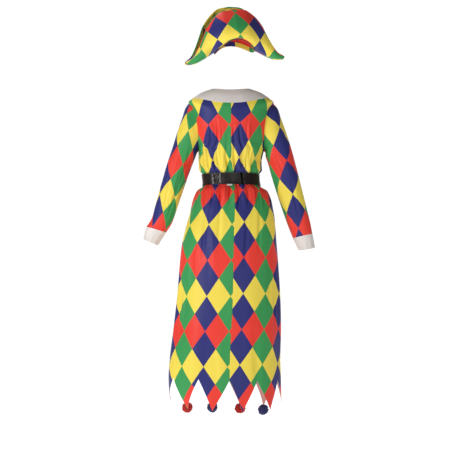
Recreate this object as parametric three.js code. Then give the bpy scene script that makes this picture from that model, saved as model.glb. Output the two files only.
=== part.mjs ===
// Harlequin costume: a long dress with a pointed hem, white collar and cuffs, a waist belt,
// four pompoms and a bicorne hat, each where it lies when the costume is worn.
// Millimetres, +Z up. The front faces -Y, the costume's own left is +X.
// The origin is the middle of the neck hole, level with the shoulder seams' neck ends.
import * as THREE from 'three';
import { mergeVertices } from 'three/addons/utils/BufferGeometryUtils.js';

// Walls and gaps
const CLOTH = 1.5;
const COLLAR_CLOTH = 1.5;
const BELT_WALL = 2;
const BRIM_FOAM = 4;
const CROWN_CLOTH = 1.5;
const GAP = 0.3;

// Dress
const HEM_POINTS = 10;
const COLUMNS_PER_POINT = 6;
const COLUMNS = HEM_POINTS * COLUMNS_PER_POINT;
const POINT_LENGTH = 128;
const PLAIN_HEM = 30;
const SIDE_POINT_CURL = 34;
const HEM_DROP_TO_RIGHT = 0.027;
const GATHERS = 20;

// Belt
const BELT_OVERLAP = 95;
const BELT_END_PAST_BACK = 31;
const BELT_STEPS = 66;
const BELT_CLEAR = 4;
const WAIST_LENGTH = 690;
const TAPE = { width: 21, from: 10, wall: 0.8, shown: 8 };

// Pompoms
const POMPOM_RADIUS = 24;
const POMPOM_CORE = 13;
const LOCKS_PER_POMPOM = 60;
const LOCK_TAPER = 0.7;

// Hat
const HAT_PLACE = { x: -13, y: -12, z: 199 };
const HAT_TILT = 5;
const HAT_TURN = 8.5;
const HAT_LEAN = -4;
const HEAD_HALF_WIDTH = 88;
const HEAD_HALF_DEPTH = 103;
const OPENING_AT_BACK = 28;
const OPENING_DROP_AT_SIDES = 46;
const CROWN_HEIGHT = 92;

// Rings round the body, from the neck down. z is given at the sides, the centre back and the
// centre front. cx and cy are the ring's middle, offBack and offFront say how far the centre back
// and centre front lie beside it. armhole is the angle where the armhole cuts the ring,
// gather the height of the waist gathers there, power the squareness, steps the rows to the next ring.
const RINGS = [
  { name: 'neck', side: 0, back: -2, front: -58, halfWidth: 93, halfDepth: 68, cx: 0, cy: -4,
    power: 2.0, offBack: 0, offFront: 0, armhole: 0, gather: 0, steps: 1 },
  { name: 'collar middle', side: -13, back: -32, front: -92, halfWidth: 132, halfDepth: 94, cx: 0, cy: -6,
    power: 2.0, offBack: 0, offFront: 0, armhole: 0, gather: 0, steps: 1 },
  { name: 'collar edge', side: -38, back: -66, front: -128, halfWidth: 168, halfDepth: 108, cx: 0, cy: -6,
    power: 2.1, offBack: 0, offFront: 0, armhole: 0, gather: 0, steps: 1 },
  { name: 'shoulder end', side: -51, back: -92, front: -150, halfWidth: 186, halfDepth: 113, cx: 0, cy: -6,
    power: 2.2, offBack: 0, offFront: 0, armhole: 0, gather: 0, steps: 2 },
  { name: 'armhole top', side: -84, back: -122, front: -171, halfWidth: 171, halfDepth: 114, cx: 0, cy: -6,
    power: 2.3, offBack: 0, offFront: 0, armhole: 21, gather: 0, steps: 2 },
  { name: 'armhole middle', side: -146, back: -166, front: -198, halfWidth: 164, halfDepth: 115, cx: 0, cy: -8,
    power: 2.3, offBack: 0, offFront: 0, armhole: 28, gather: 0, steps: 2 },
  { name: 'armhole low', side: -199, back: -208, front: -223, halfWidth: 154, halfDepth: 117, cx: 0, cy: -10,
    power: 2.3, offBack: 0, offFront: 0, armhole: 24, gather: 0.5, steps: 2 },
  { name: 'armhole curve', side: -237, back: -240, front: -244, halfWidth: 144, halfDepth: 116, cx: 0, cy: -11,
    power: 2.3, offBack: 0, offFront: 0, armhole: 13, gather: 1, steps: 2 },
  { name: 'underarm', side: -258, back: -258, front: -258, halfWidth: 141, halfDepth: 115, cx: 0, cy: -11,
    power: 2.2, offBack: -2, offFront: 0, armhole: 0, gather: 1.5, steps: 1 },
  { name: 'ribs', side: -306, back: -306, front: -306, halfWidth: 134, halfDepth: 108, cx: 5, cy: -9,
    power: 2.2, offBack: -6, offFront: 0, armhole: 0, gather: 3, steps: 1 },
  { name: 'above belt', side: -344, back: -344, front: -344, halfWidth: 131, halfDepth: 102, cx: 3, cy: -6,
    power: 2.1, offBack: -9, offFront: 0, armhole: 0, gather: 4.5, steps: 1 },
  { name: 'belt top', side: -365, back: -365, front: -365, halfWidth: 119, halfDepth: 94, cx: 1, cy: -4,
    power: 2.1, offBack: -11, offFront: 0, armhole: 0, gather: 1.5, steps: 1 },
  { name: 'belt middle', side: -390, back: -390, front: -390, halfWidth: 118, halfDepth: 93, cx: -1, cy: -3,
    power: 2.1, offBack: -12, offFront: 0, armhole: 0, gather: 1.5, steps: 1 },
  { name: 'belt bottom', side: -415, back: -415, front: -415, halfWidth: 120, halfDepth: 94, cx: -3, cy: -2,
    power: 2.1, offBack: -12, offFront: 0, armhole: 0, gather: 1.5, steps: 1 },
  { name: 'below belt', side: -434, back: -434, front: -434, halfWidth: 146, halfDepth: 106, cx: -4, cy: 0,
    power: 2.1, offBack: -12, offFront: 0, armhole: 0, gather: 4.5, steps: 1 },
  { name: 'high hip', side: -474, back: -474, front: -474, halfWidth: 166, halfDepth: 114, cx: -4, cy: 3,
    power: 2.1, offBack: -12, offFront: 0, armhole: 0, gather: 3, steps: 1 },
  { name: 'hip', side: -530, back: -530, front: -530, halfWidth: 180, halfDepth: 122, cx: -4, cy: 6,
    power: 2.1, offBack: -12, offFront: 0, armhole: 0, gather: 1, steps: 1 },
  { name: 'seat', side: -600, back: -600, front: -600, halfWidth: 194, halfDepth: 129, cx: 2, cy: 7,
    power: 2.1, offBack: -15, offFront: -1, armhole: 0, gather: 0.5, steps: 1 },
  { name: 'thigh', side: -700, back: -700, front: -700, halfWidth: 208, halfDepth: 135, cx: 8, cy: 6,
    power: 2.05, offBack: -19, offFront: -2, armhole: 0, gather: 0, steps: 1 },
  { name: 'knee', side: -860, back: -860, front: -860, halfWidth: 220, halfDepth: 141, cx: 9, cy: 4,
    power: 2.0, offBack: -17, offFront: -5, armhole: 0, gather: 0, steps: 1 },
  { name: 'calf', side: -1030, back: -1030, front: -1030, halfWidth: 231, halfDepth: 147, cx: 16, cy: 3,
    power: 2.0, offBack: -17, offFront: -6, armhole: 0, gather: 0, steps: 1 },
  { name: 'low calf', side: -1150, back: -1150, front: -1150, halfWidth: 237, halfDepth: 150, cx: 25, cy: 2,
    power: 2.0, offBack: -20, offFront: -8, armhole: 0, gather: 0, steps: 1 },
  { name: 'above notches', side: -1213, back: -1213, front: -1213, halfWidth: 241, halfDepth: 152, cx: 27, cy: 2,
    power: 2.0, offBack: -21, offFront: -8, armhole: 0, gather: 0, steps: 0 },
];

// Long soft folds of the dress. at is the place round the body, 0 at the centre back, 0.25 at the
// left side and 0.5 at the centre front. wide is half its width there, high its height.
const FOLDS = [
  { at: 0.065, wide: 0.030, high: 5.0, top: -110, bottom: -372 },
  { at: 0.150, wide: 0.028, high: 4.0, top: -170, bottom: -372 },
  { at: 0.965, wide: 0.030, high: 4.5, top: -120, bottom: -372 },
  { at: 0.880, wide: 0.030, high: 4.5, top: -150, bottom: -372 },
  { at: 0.400, wide: 0.035, high: 5.0, top: -150, bottom: -372 },
  { at: 0.590, wide: 0.035, high: 5.0, top: -150, bottom: -372 },
  { at: 0.205, wide: 0.035, high: -8.0, top: -760, bottom: -1190 },
  { at: 0.120, wide: 0.045, high: 5.0, top: -900, bottom: -1420 },
  { at: 0.930, wide: 0.050, high: 4.0, top: -620, bottom: -1420 },
  { at: 0.800, wide: 0.040, high: -7.0, top: -560, bottom: -1420 },
  { at: 0.330, wide: 0.040, high: -8.0, top: -560, bottom: -1420 },
  { at: 0.440, wide: 0.045, high: 7.0, top: -640, bottom: -1420 },
  { at: 0.560, wide: 0.045, high: 6.0, top: -600, bottom: -1420 },
  { at: 0.670, wide: 0.040, high: -8.0, top: -680, bottom: -1420 },
];

// Rings along each sleeve, from the armhole's neighbour to the cuff seam, then to the cuff's edge.
// outer and inner are x and z of the ring's outermost and innermost points, y its middle.
const LEFT_SLEEVE = [
  { name: 'cap top', outerX: 199, outerZ: -73, innerX: 149, innerZ: -270, y: -8, halfDepth: 64 },
  { name: 'cap middle', outerX: 213, outerZ: -116, innerX: 153, innerZ: -280, y: -8, halfDepth: 64 },
  { name: 'cap low', outerX: 233, outerZ: -175, innerX: 157, innerZ: -291, y: -7, halfDepth: 61 },
  { name: 'upper arm', outerX: 258, outerZ: -256, innerX: 164, innerZ: -309, y: -6, halfDepth: 56 },
  { name: 'above elbow', outerX: 279, outerZ: -320, innerX: 181, innerZ: -354, y: -7, halfDepth: 53 },
  { name: 'elbow', outerX: 296, outerZ: -379, innerX: 201, innerZ: -411, y: -10, halfDepth: 51 },
  { name: 'below elbow', outerX: 313, outerZ: -438, innerX: 221, innerZ: -469, y: -15, halfDepth: 48 },
  { name: 'forearm', outerX: 329, outerZ: -495, innerX: 240, innerZ: -525, y: -22, halfDepth: 45 },
  { name: 'wrist', outerX: 345, outerZ: -552, innerX: 259, innerZ: -576, y: -30, halfDepth: 42 },
  { name: 'cuff seam', outerX: 369, outerZ: -590, innerX: 284, innerZ: -615, y: -36, halfDepth: 38 },
];
const RIGHT_SLEEVE = [
  { name: 'cap top', outerX: -203, outerZ: -73, innerX: -151, innerZ: -270, y: -8, halfDepth: 64 },
  { name: 'cap middle', outerX: -218, outerZ: -116, innerX: -151, innerZ: -280, y: -8, halfDepth: 64 },
  { name: 'cap low', outerX: -239, outerZ: -175, innerX: -153, innerZ: -290, y: -7, halfDepth: 61 },
  { name: 'upper arm', outerX: -266, outerZ: -262, innerX: -159, innerZ: -306, y: -6, halfDepth: 57 },
  { name: 'above elbow', outerX: -283, outerZ: -326, innerX: -173, innerZ: -359, y: -6, halfDepth: 55 },
  { name: 'elbow', outerX: -299, outerZ: -389, innerX: -192, innerZ: -420, y: -8, halfDepth: 53 },
  { name: 'below elbow', outerX: -315, outerZ: -452, innerX: -212, innerZ: -482, y: -12, halfDepth: 50 },
  { name: 'forearm', outerX: -331, outerZ: -514, innerX: -233, innerZ: -543, y: -18, halfDepth: 47 },
  { name: 'wrist', outerX: -345, outerZ: -571, innerX: -253, innerZ: -597, y: -25, halfDepth: 43 },
  { name: 'cuff seam', outerX: -355, outerZ: -621, innerX: -271, innerZ: -640, y: -30, halfDepth: 38 },
];
const LEFT_CUFF = [
  { name: 'middle', outerX: 376, outerZ: -616, innerX: 302, innerZ: -643, y: -38, halfDepth: 36 },
  { name: 'edge', outerX: 382, outerZ: -643, innerX: 319, innerZ: -671, y: -40, halfDepth: 35 },
];
const RIGHT_CUFF = [
  { name: 'middle', outerX: -361, outerZ: -651, innerX: -283, innerZ: -666, y: -32, halfDepth: 37 },
  { name: 'edge', outerX: -366, outerZ: -681, innerX: -295, innerZ: -692, y: -33, halfDepth: 36 },
];
// Creases of the sleeves: at is the place round the sleeve (0 outer, 0.25 back, 0.5 inner),
// drift how far it turns from its start ring to its end ring, deep its depth.
const SLEEVE_CREASES = [
  { at: 0.22, drift: 0.10, wide: 0.09, deep: 4, from: 2, to: 9 },
  { at: 0.42, drift: -0.10, wide: 0.08, deep: 5, from: 3, to: 7 },
  { at: 0.68, drift: 0.08, wide: 0.09, deep: 5, from: 4, to: 10 },
  { at: 0.88, drift: -0.06, wide: 0.08, deep: 4, from: 1, to: 6 },
];

// Hat brim sections from the middle to a tip, in the hat's own frame. fold is where the brim turns
// up, top its upper edge, back and front the heights of the two edges. inner is the seam to the tip.
const BRIM = [
  { angle: 0, innerX: 0, innerZ: 28, foldX: 0, foldY: 124, foldZ: 32, topX: 0, topY: 52, back: 156, front: 185 },
  { angle: 30, innerX: 0, innerZ: 17, foldX: 46, foldY: 118, foldZ: 24, topX: 44, topY: 52, back: 152, front: 179 },
  { angle: 60, innerX: 0, innerZ: -6, foldX: 86, foldY: 96, foldZ: 0, topX: 85, topY: 50, back: 126, front: 147 },
  { angle: 90, innerX: 88, innerZ: -18, foldX: 118, foldY: 70, foldZ: -22, topX: 119, topY: 46, back: 84, front: 102 },
  { angle: 90, innerX: 114, innerZ: -31, foldX: 142, foldY: 53, foldZ: -42, topX: 140, topY: 41, back: 40, front: 54 },
  { angle: 90, innerX: 146, innerZ: -47, foldX: 166, foldY: 38, foldZ: -58, topX: 162, topY: 35, back: -2, front: 8 },
  { angle: 90, innerX: 180, innerZ: -58, foldX: 188, foldY: 26, foldZ: -66, topX: 188, topY: 26, back: -38, front: -32 },
  { angle: 90, innerX: 214, innerZ: -60, foldX: 217, foldY: 13, foldZ: -64, topX: 221, topY: 12, back: -55, front: -54 },
];
const FRONT_BRIM_WIDER = 5;
const BRIM_COLUMNS = 14;
const BRIM_ROWS = 6;
const CROWN_ROWS = 5;

const SATIN = { roughness: 0.5, metalness: 0 };
const COLOURS = {
  yellow: 0xe4d55c, red: 0xeb4f40, blue: 0x424782, green: 0x53a366,
  white: 0xe7e1df, black: 0x2a2622, tape: 0xd8d6d0, pompomRed: 0x92180f, pompomBlue: 0x282744,
};

const radians = (degrees) => degrees * Math.PI / 180;

// A value at a fractional place in a list, along a smooth curve that never overshoots it
function smooth(values, place) {
  const last = values.length - 1;
  const i = Math.min(Math.max(Math.floor(place), 0), last - 1);
  const t = place - i;
  const rise = (k) => values[k + 1] - values[k];
  const slope = (k) => {
    if (k === 0) return rise(0);
    if (k === last) return rise(last - 1);
    const before = rise(k - 1);
    const after = rise(k);
    return before * after <= 0 ? 0 : 2 * before * after / (before + after);
  };
  const t2 = t * t;
  const t3 = t2 * t;
  return (2 * t3 - 3 * t2 + 1) * values[i] + (t3 - 2 * t2 + t) * slope(i)
    + (3 * t2 - 2 * t3) * values[i + 1] + (t3 - t2) * slope(i + 1);
}

// Each named column of a table at a fractional row
function rowAt(table, place) {
  const row = {};
  for (const key of Object.keys(table[0])) {
    if (typeof table[0][key] === 'number') row[key] = smooth(table.map((r) => r[key]), place);
  }
  return row;
}

// A soft bump: 1 in the middle, 0 at a distance of 1 and beyond
function bump(distance) {
  const d = Math.min(Math.abs(distance), 1);
  return (1 - d * d) ** 2;
}

// How far place lies from at, on a circle of length 1
function roundDistance(place, at) {
  const d = ((place - at) % 1 + 1.5) % 1 - 0.5;
  return d;
}

const UNDERARM = RINGS.findIndex((r) => r.name === 'underarm');
const SHOULDER_END = RINGS.findIndex((r) => r.name === 'shoulder end');
const COLLAR_EDGE = RINGS.findIndex((r) => r.name === 'collar edge');
const BELT_TOP = RINGS.findIndex((r) => r.name === 'belt top');

// A point of a ring at an angle: 0 the left side, 90 the back, 180 the right side, 270 the front
function ringPoint(ring, angle) {
  const c = Math.cos(angle);
  const s = Math.sin(angle);
  const squared = (v) => Math.sign(v) * Math.abs(v) ** (2 / ring.power);
  const x = ring.cx + ring.halfWidth * squared(c);
  const y = ring.cy + ring.halfDepth * squared(s);
  const tilt = (ring.back - ring.front) / 2;
  const bow = (ring.back + ring.front) / 2 - ring.side;
  return new THREE.Vector3(x, y, ring.side + tilt * s + bow * s * s);
}

// The angle at a share of the way along a ring from one angle to another
function angleAlong(ring, from, to, share) {
  const pieces = 48;
  const lengths = [0];
  let before = ringPoint(ring, from);
  for (let i = 1; i <= pieces; i++) {
    const point = ringPoint(ring, from + (to - from) * i / pieces);
    lengths.push(lengths[i - 1] + point.distanceTo(before));
    before = point;
  }
  const wanted = share * lengths[pieces];
  let i = 1;
  while (i < pieces && lengths[i] < wanted) i++;
  const part = (wanted - lengths[i - 1]) / (lengths[i] - lengths[i - 1]);
  return from + (to - from) * (i - 1 + part) / pieces;
}

// The angle of a place round the body. Above the underarm each quarter ends at its armhole.
function bodyAngle(ring, level, place) {
  const offAngle = (off) => Math.acos(Math.sign(off) * Math.abs(off / ring.halfWidth) ** (ring.power / 2));
  const back = offAngle(ring.offBack);
  const front = -offAngle(ring.offFront);
  const turn = 2 * Math.PI;
  if (level >= UNDERARM) {
    if (place <= 0.5) return angleAlong(ring, back, front, place * 2);
    return angleAlong(ring, front, back - turn, place * 2 - 1);
  }
  const edge = radians(ring.armhole);
  if (place <= 0.25) return angleAlong(ring, back, edge, place * 4);
  if (place <= 0.5) return angleAlong(ring, -edge, front, place * 4 - 1);
  if (place <= 0.75) return angleAlong(ring, front, edge - Math.PI, place * 4 - 2);
  return angleAlong(ring, -Math.PI - edge, back - turn, place * 4 - 3);
}

// Height of the folds and gathers at a place
function foldHeight(ring, place, z) {
  let height = 0;
  for (const fold of FOLDS) {
    const along = (z - (fold.top + fold.bottom) / 2) / ((fold.top - fold.bottom) / 2);
    height += fold.high * bump(roundDistance(place, fold.at) / fold.wide) * bump(along);
  }
  const uneven = 1 + 0.3 * Math.sin(place * 2 * Math.PI * 7) + 0.2 * Math.sin(place * 2 * Math.PI * 3 + 1);
  return height + ring.gather * uneven * Math.cos(place * 2 * Math.PI * GATHERS);
}

// A point of the dress's cloth. level is a fractional ring number, place runs round the body.
function bodyPoint(level, place, raise = 0, folds = true) {
  const ring = rowAt(RINGS, level);
  const angle = bodyAngle(ring, level, place);
  const point = ringPoint(ring, angle);
  const outward = new THREE.Vector3((point.x - ring.cx) / ring.halfWidth ** 2,
    (point.y - ring.cy) / ring.halfDepth ** 2, 0).normalize();
  const height = raise + (folds ? foldHeight(ring, place, point.z) : 0);
  return point.addScaledVector(outward, height);
}

// The pointed hem: 0 at a notch, 1 at a tip
function tipShare(place) {
  const along = place * HEM_POINTS;
  return 1 - Math.abs((along - Math.floor(along)) * 2 - 1);
}

// Levels of the cloth's rows down to the pointed hem
function bodyLevels() {
  const levels = [];
  RINGS.forEach((ring, i) => {
    for (let k = 0; k < ring.steps; k++) levels.push(i + k / ring.steps);
  });
  levels.push(RINGS.length - 1);
  return levels;
}
const LEVELS = bodyLevels();

// The rows of one panel between two columns, with the hem's points below the last ring
function panelGrid(firstColumn, lastColumn) {
  const places = [];
  for (let c = firstColumn; c <= lastColumn; c++) places.push(c / COLUMNS);
  const slant = (point) => {
    const lower = Math.min(Math.max((-point.z - 430) / 800, 0), 1);
    point.z += HEM_DROP_TO_RIGHT * point.x * lower;
    return point;
  };
  // A quarter's last column at the front side of a seam lies on the armhole's front edge
  const seamSide = (place, c) => {
    const inside = c === 0 ? 1e-9 : -1e-9;
    const quarter = Math.abs(place * 4 - Math.round(place * 4)) < 1e-9;
    const end = c === 0 || c === places.length - 1;
    return quarter && end ? place + inside : place;
  };
  const grid = LEVELS.map((level) => places.map((place, c) => slant(bodyPoint(level, seamSide(place, c)))));
  const last = grid.length - 1;
  const ring = RINGS[RINGS.length - 1];
  const hemRow = (share) => places.map((place, c) => {
    const start = grid[last][c];
    const down = start.clone().sub(grid[last - 1][c]).normalize().add(new THREE.Vector3(0, 0, -1)).normalize();
    const sideways = (start.x - ring.cx) / ring.halfWidth;
    const curl = SIDE_POINT_CURL * (share * tipShare(place)) ** 2 * sideways ** 3;
    const point = start.clone().addScaledVector(down, share * (PLAIN_HEM + POINT_LENGTH * tipShare(place)));
    return point.add(new THREE.Vector3(-curl, -Math.abs(curl) / 2, 0));
  });
  grid.push(hemRow(1 / 3), hemRow(2 / 3), hemRow(1));
  return grid;
}

const QUARTER = COLUMNS / 4;
const backLeft = panelGrid(0, QUARTER);
const front = panelGrid(QUARTER, 3 * QUARTER);
const backRight = panelGrid(3 * QUARTER, COLUMNS);

// The loop of the armhole's points, in the order in which a sleeve's columns run
const ARMHOLE_FIRST = LEVELS.indexOf(SHOULDER_END);
const ARMHOLE_LAST = LEVELS.indexOf(UNDERARM);
function armholeLoop(backPanel, backColumn, frontColumn, left) {
  const back = [];
  const ahead = [];
  for (let r = ARMHOLE_FIRST; r <= ARMHOLE_LAST; r++) {
    back.push(backPanel[r][backColumn]);
    ahead.push(front[r][frontColumn]);
  }
  if (left) return [...back.slice().reverse(), ...ahead.slice(1, -1)];
  return [...back, ...ahead.slice(1, -1).reverse()];
}

// A sleeve or cuff ring. Columns start at the underarm on the left sleeve, at the top on the right.
function sleeveRing(ring, columns, left, level) {
  const points = [];
  const middle = new THREE.Vector3((ring.outerX + ring.innerX) / 2, ring.y, (ring.outerZ + ring.innerZ) / 2);
  const out = new THREE.Vector3(ring.outerX, ring.y, ring.outerZ).sub(middle);
  const back = new THREE.Vector3(0, ring.halfDepth, 0);
  for (let k = 0; k < columns; k++) {
    const round = left ? (0.5 - k / columns + 1) % 1 : k / columns;
    const angle = round * 2 * Math.PI;
    const step = out.clone().multiplyScalar(Math.cos(angle)).addScaledVector(back, Math.sin(angle));
    let deep = 0;
    for (const crease of SLEEVE_CREASES) {
      const along = (level - (crease.from + crease.to) / 2) / ((crease.to - crease.from) / 2);
      const at = crease.at + crease.drift * (along + 1) / 2;
      deep += crease.deep * bump(roundDistance(round, at) / crease.wide) * bump(along);
    }
    points.push(middle.clone().add(step).addScaledVector(step.clone().normalize(), -deep));
  }
  return points;
}

const leftArmhole = armholeLoop(backLeft, QUARTER, 0, true);
const rightArmhole = armholeLoop(backRight, 0, 2 * QUARTER, false);
function sleeveGrid(armhole, table, left) {
  return [armhole, ...table.map((ring, i) => sleeveRing(ring, armhole.length, left, i + 1))];
}
const sleeveLeft = sleeveGrid(leftArmhole, LEFT_SLEEVE, true);
const sleeveRight = sleeveGrid(rightArmhole, RIGHT_SLEEVE, false);
function cuffGrid(sleeve, table, left) {
  const seam = sleeve[sleeve.length - 1];
  return [seam, ...table.map((ring) => sleeveRing(ring, seam.length, left, sleeve.length + 1))];
}
const cuffLeft = cuffGrid(sleeveLeft, LEFT_CUFF, true);
const cuffRight = cuffGrid(sleeveRight, RIGHT_CUFF, false);

// Outward directions of a sewn surface. Where two groups meet, such as body and sleeve, both count
// the same, so the pieces meet in the plane that halves their angle.
class Surface {
  constructor() {
    this.groups = new Map();
  }

  key(p) {
    return `${Math.round(p.x * 100)},${Math.round(p.y * 100)},${Math.round(p.z * 100)}`;
  }

  add(grid, closed = false, group = 'all') {
    const columns = grid[0].length;
    for (let r = 0; r + 1 < grid.length; r++) {
      for (let c = 0; c < (closed ? columns : columns - 1); c++) {
        const d = (c + 1) % columns;
        this.addFace(group, grid[r][c], grid[r][d], grid[r + 1][d]);
        this.addFace(group, grid[r][c], grid[r + 1][d], grid[r + 1][c]);
      }
    }
    return this;
  }

  addFace(group, a, b, c) {
    const normal = b.clone().sub(a).cross(c.clone().sub(a));
    for (const p of [a, b, c]) {
      const key = this.key(p);
      if (!this.groups.has(key)) this.groups.set(key, {});
      const sums = this.groups.get(key);
      sums[group] = (sums[group] ?? new THREE.Vector3()).add(normal);
    }
  }

  turn(p, normal) {
    this.groups.set(this.key(p), { turned: normal });
  }

  normal(p) {
    const ways = Object.values(this.groups.get(this.key(p))).map((sum) => sum.clone().normalize());
    return ways.reduce((total, way) => total.add(way), new THREE.Vector3()).normalize();
  }
}

// How a seam's point steps back into its piece, across the plane in which the two pieces meet
function stepBack(before, point, after, normal, inside) {
  const sides = [];
  if (before && before.distanceTo(point) > 1e-6) sides.push(point.clone().sub(before));
  if (after && after.distanceTo(point) > 1e-6) sides.push(after.clone().sub(point));
  const steps = sides.map((side) => {
    const step = normal.clone().cross(side).normalize();
    return step.dot(inside) < 0 ? step.negate() : step;
  });
  const sum = steps.reduce((total, step) => total.add(step), new THREE.Vector3()).normalize();
  return sum.multiplyScalar(GAP / 2 / Math.max(sum.dot(steps[0]), 0.5));
}

// A closed wall of cloth from a grid of its middle surface. seams names the edges that are sewn to
// another piece: first and last column, first and last row. The first row of a pointed wall is one point.
function wall(grid, { surface, thickness, closed = false, pointed = false, seams = [], raise = 0 }) {
  const rows = grid.length;
  const columns = grid[0].length;
  const own = surface ?? new Surface().add(grid, closed);
  const at = (r, c) => grid[r]?.[closed ? (c + columns) % columns : c];
  const positions = [];
  const put = (p) => positions.push(p.x, p.y, p.z);
  const outer = [];
  const inner = [];
  for (let r = 0; r < rows; r++) {
    for (let c = 0; c < columns; c++) {
      const point = grid[r][c];
      const normal = own.normal(point);
      const moved = point.clone();
      const pull = (before, after, inside) => {
        moved.add(stepBack(before, point, after, normal, inside.clone().sub(point)));
      };
      if (seams.includes('first column') && c === 0) pull(at(r - 1, c), at(r + 1, c), at(r, 1));
      if (seams.includes('last column') && c === columns - 1) pull(at(r - 1, c), at(r + 1, c), at(r, c - 1));
      if (seams.includes('first row') && r === 0) pull(at(r, c - 1), at(r, c + 1), at(1, c));
      if (seams.includes('last row') && r === rows - 1) pull(at(r, c - 1), at(r, c + 1), at(r - 1, c));
      outer.push(moved.clone().addScaledVector(normal, raise + thickness / 2));
      inner.push(moved.clone().addScaledVector(normal, raise - thickness / 2));
    }
  }
  outer.forEach(put);
  inner.forEach(put);
  const index = [];
  const quad = (a, b, c, d) => index.push(a, b, c, a, c, d);
  const out = (r, c) => r * columns + c % columns;
  const inn = (r, c) => rows * columns + out(r, c);
  const spans = closed ? columns : columns - 1;
  for (let r = 0; r + 1 < rows; r++) {
    for (let c = 0; c < spans; c++) {
      quad(out(r, c), out(r, c + 1), out(r + 1, c + 1), out(r + 1, c));
      quad(inn(r, c), inn(r + 1, c), inn(r + 1, c + 1), inn(r, c + 1));
    }
    if (closed) continue;
    quad(out(r, 0), out(r + 1, 0), inn(r + 1, 0), inn(r, 0));
    quad(out(r + 1, columns - 1), out(r, columns - 1), inn(r, columns - 1), inn(r + 1, columns - 1));
  }
  for (let c = 0; c < spans; c++) {
    if (!pointed) quad(out(0, c + 1), out(0, c), inn(0, c), inn(0, c + 1));
    quad(out(rows - 1, c), out(rows - 1, c + 1), inn(rows - 1, c + 1), inn(rows - 1, c));
  }
  const geometry = new THREE.BufferGeometry();
  geometry.setAttribute('position', new THREE.Float32BufferAttribute(positions, 3));
  geometry.setIndex(index);
  return pointed ? withoutEmptyFaces(geometry) : geometry;
}

function withoutEmptyFaces(geometry) {
  const merged = mergeVertices(geometry, 0.001);
  const kept = [];
  for (let f = 0; f < merged.index.count; f += 3) {
    const [a, b, c] = [0, 1, 2].map((k) => merged.index.getX(f + k));
    if (a !== b && b !== c && c !== a) kept.push(a, b, c);
  }
  merged.setIndex(kept);
  return merged;
}

function piece(name, geometry, colour, finish = SATIN) {
  const mesh = new THREE.Mesh(geometry, new THREE.MeshStandardMaterial({ color: colour, ...finish }));
  mesh.name = name;
  return mesh;
}

// Dress: panels, sleeves and cuffs are one sewn surface
const dressSurface = new Surface();
for (const grid of [backLeft, front, backRight]) dressSurface.add(grid, false, 'body');
for (const grid of [sleeveLeft, sleeveRight, cuffLeft, cuffRight]) dressSurface.add(grid, true, 'sleeves');

function dressPieces() {
  const cloth = { surface: dressSurface, thickness: CLOTH };
  const panel = { ...cloth, seams: ['first column', 'last column'] };
  const sleeve = { ...cloth, closed: true, seams: ['first row', 'last row'] };
  const cuff = { ...cloth, closed: true, seams: ['first row'] };
  return [
    piece('front_panel', wall(front, panel), COLOURS.yellow),
    piece('back_left_panel', wall(backLeft, panel), COLOURS.red),
    piece('back_right_panel', wall(backRight, panel), COLOURS.blue),
    piece('sleeve_left', wall(sleeveLeft, sleeve), COLOURS.green),
    piece('sleeve_right', wall(sleeveRight, sleeve), COLOURS.green),
    piece('cuff_left', wall(cuffLeft, cuff), COLOURS.white),
    piece('cuff_right', wall(cuffRight, cuff), COLOURS.white),
  ];
}

// The collar lies on the shoulders and is made from the dress's own points, moved out. Its two ends
// meet at the centre back.
function collarPiece() {
  const grid = [];
  for (let level = 0; level <= COLLAR_EDGE; level++) {
    const row = [];
    for (let c = 0; c <= COLUMNS; c++) row.push(bodyPoint(level, c / COLUMNS));
    grid.push(row);
  }
  const raise = CLOTH / 2 + GAP + COLLAR_CLOTH / 2;
  const seams = ['first column', 'last column'];
  return piece('collar', wall(grid, { surface: dressSurface, thickness: COLLAR_CLOTH, seams, raise }), COLOURS.white);
}

// The belt winds once round the waist, from its free end at the back over its start underneath.
// turns counts from the centre back to the left, and each turn lies one layer further in.
const BELT_LAYER = BELT_WALL + TAPE.wall + 2 * GAP;
const BELT_FREE_END = -BELT_END_PAST_BACK / WAIST_LENGTH;
const BELT_START = 1 + BELT_FREE_END + BELT_OVERLAP / WAIST_LENGTH;
const beltRaise = (turns) => BELT_CLEAR + BELT_WALL / 2 + BELT_LAYER * (BELT_START - turns);
function beltPiece() {
  const grid = [];
  for (let row = 0; row < 3; row++) {
    const line = [];
    for (let k = 0; k <= BELT_STEPS; k++) {
      const turns = BELT_FREE_END + (BELT_START - BELT_FREE_END) * k / BELT_STEPS;
      line.push(bodyPoint(BELT_TOP + row, (turns + 1) % 1, beltRaise(turns), false));
    }
    grid.push(line);
  }
  return piece('belt', wall(grid, { thickness: BELT_WALL }), COLOURS.black, { roughness: 0.35, metalness: 0 });
}

// The closing tape on the belt's inner layer, whose end hangs out below the belt
function tapePiece() {
  const bottom = BELT_TOP + 2;
  const belowHeight = RINGS[bottom].side - RINGS[bottom + 1].side;
  const levels = [bottom - 1, bottom, bottom + TAPE.shown / belowHeight];
  const grid = levels.map((level) => {
    const clearOfGathers = 1.5 * rowAt(RINGS, level).gather + CLOTH / 2 + GAP + TAPE.wall / 2;
    return [0, 0.5, 1].map((share) => {
      const turns = (TAPE.from + TAPE.width * share) / WAIST_LENGTH;
      const onBelt = beltRaise(1 + turns) + BELT_WALL / 2 + GAP + TAPE.wall / 2;
      return bodyPoint(level, (turns + 1) % 1, Math.max(onBelt, clearOfGathers), false);
    });
  });
  return piece('belt_tape', wall(grid, { thickness: TAPE.wall }), COLOURS.tape);
}

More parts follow.
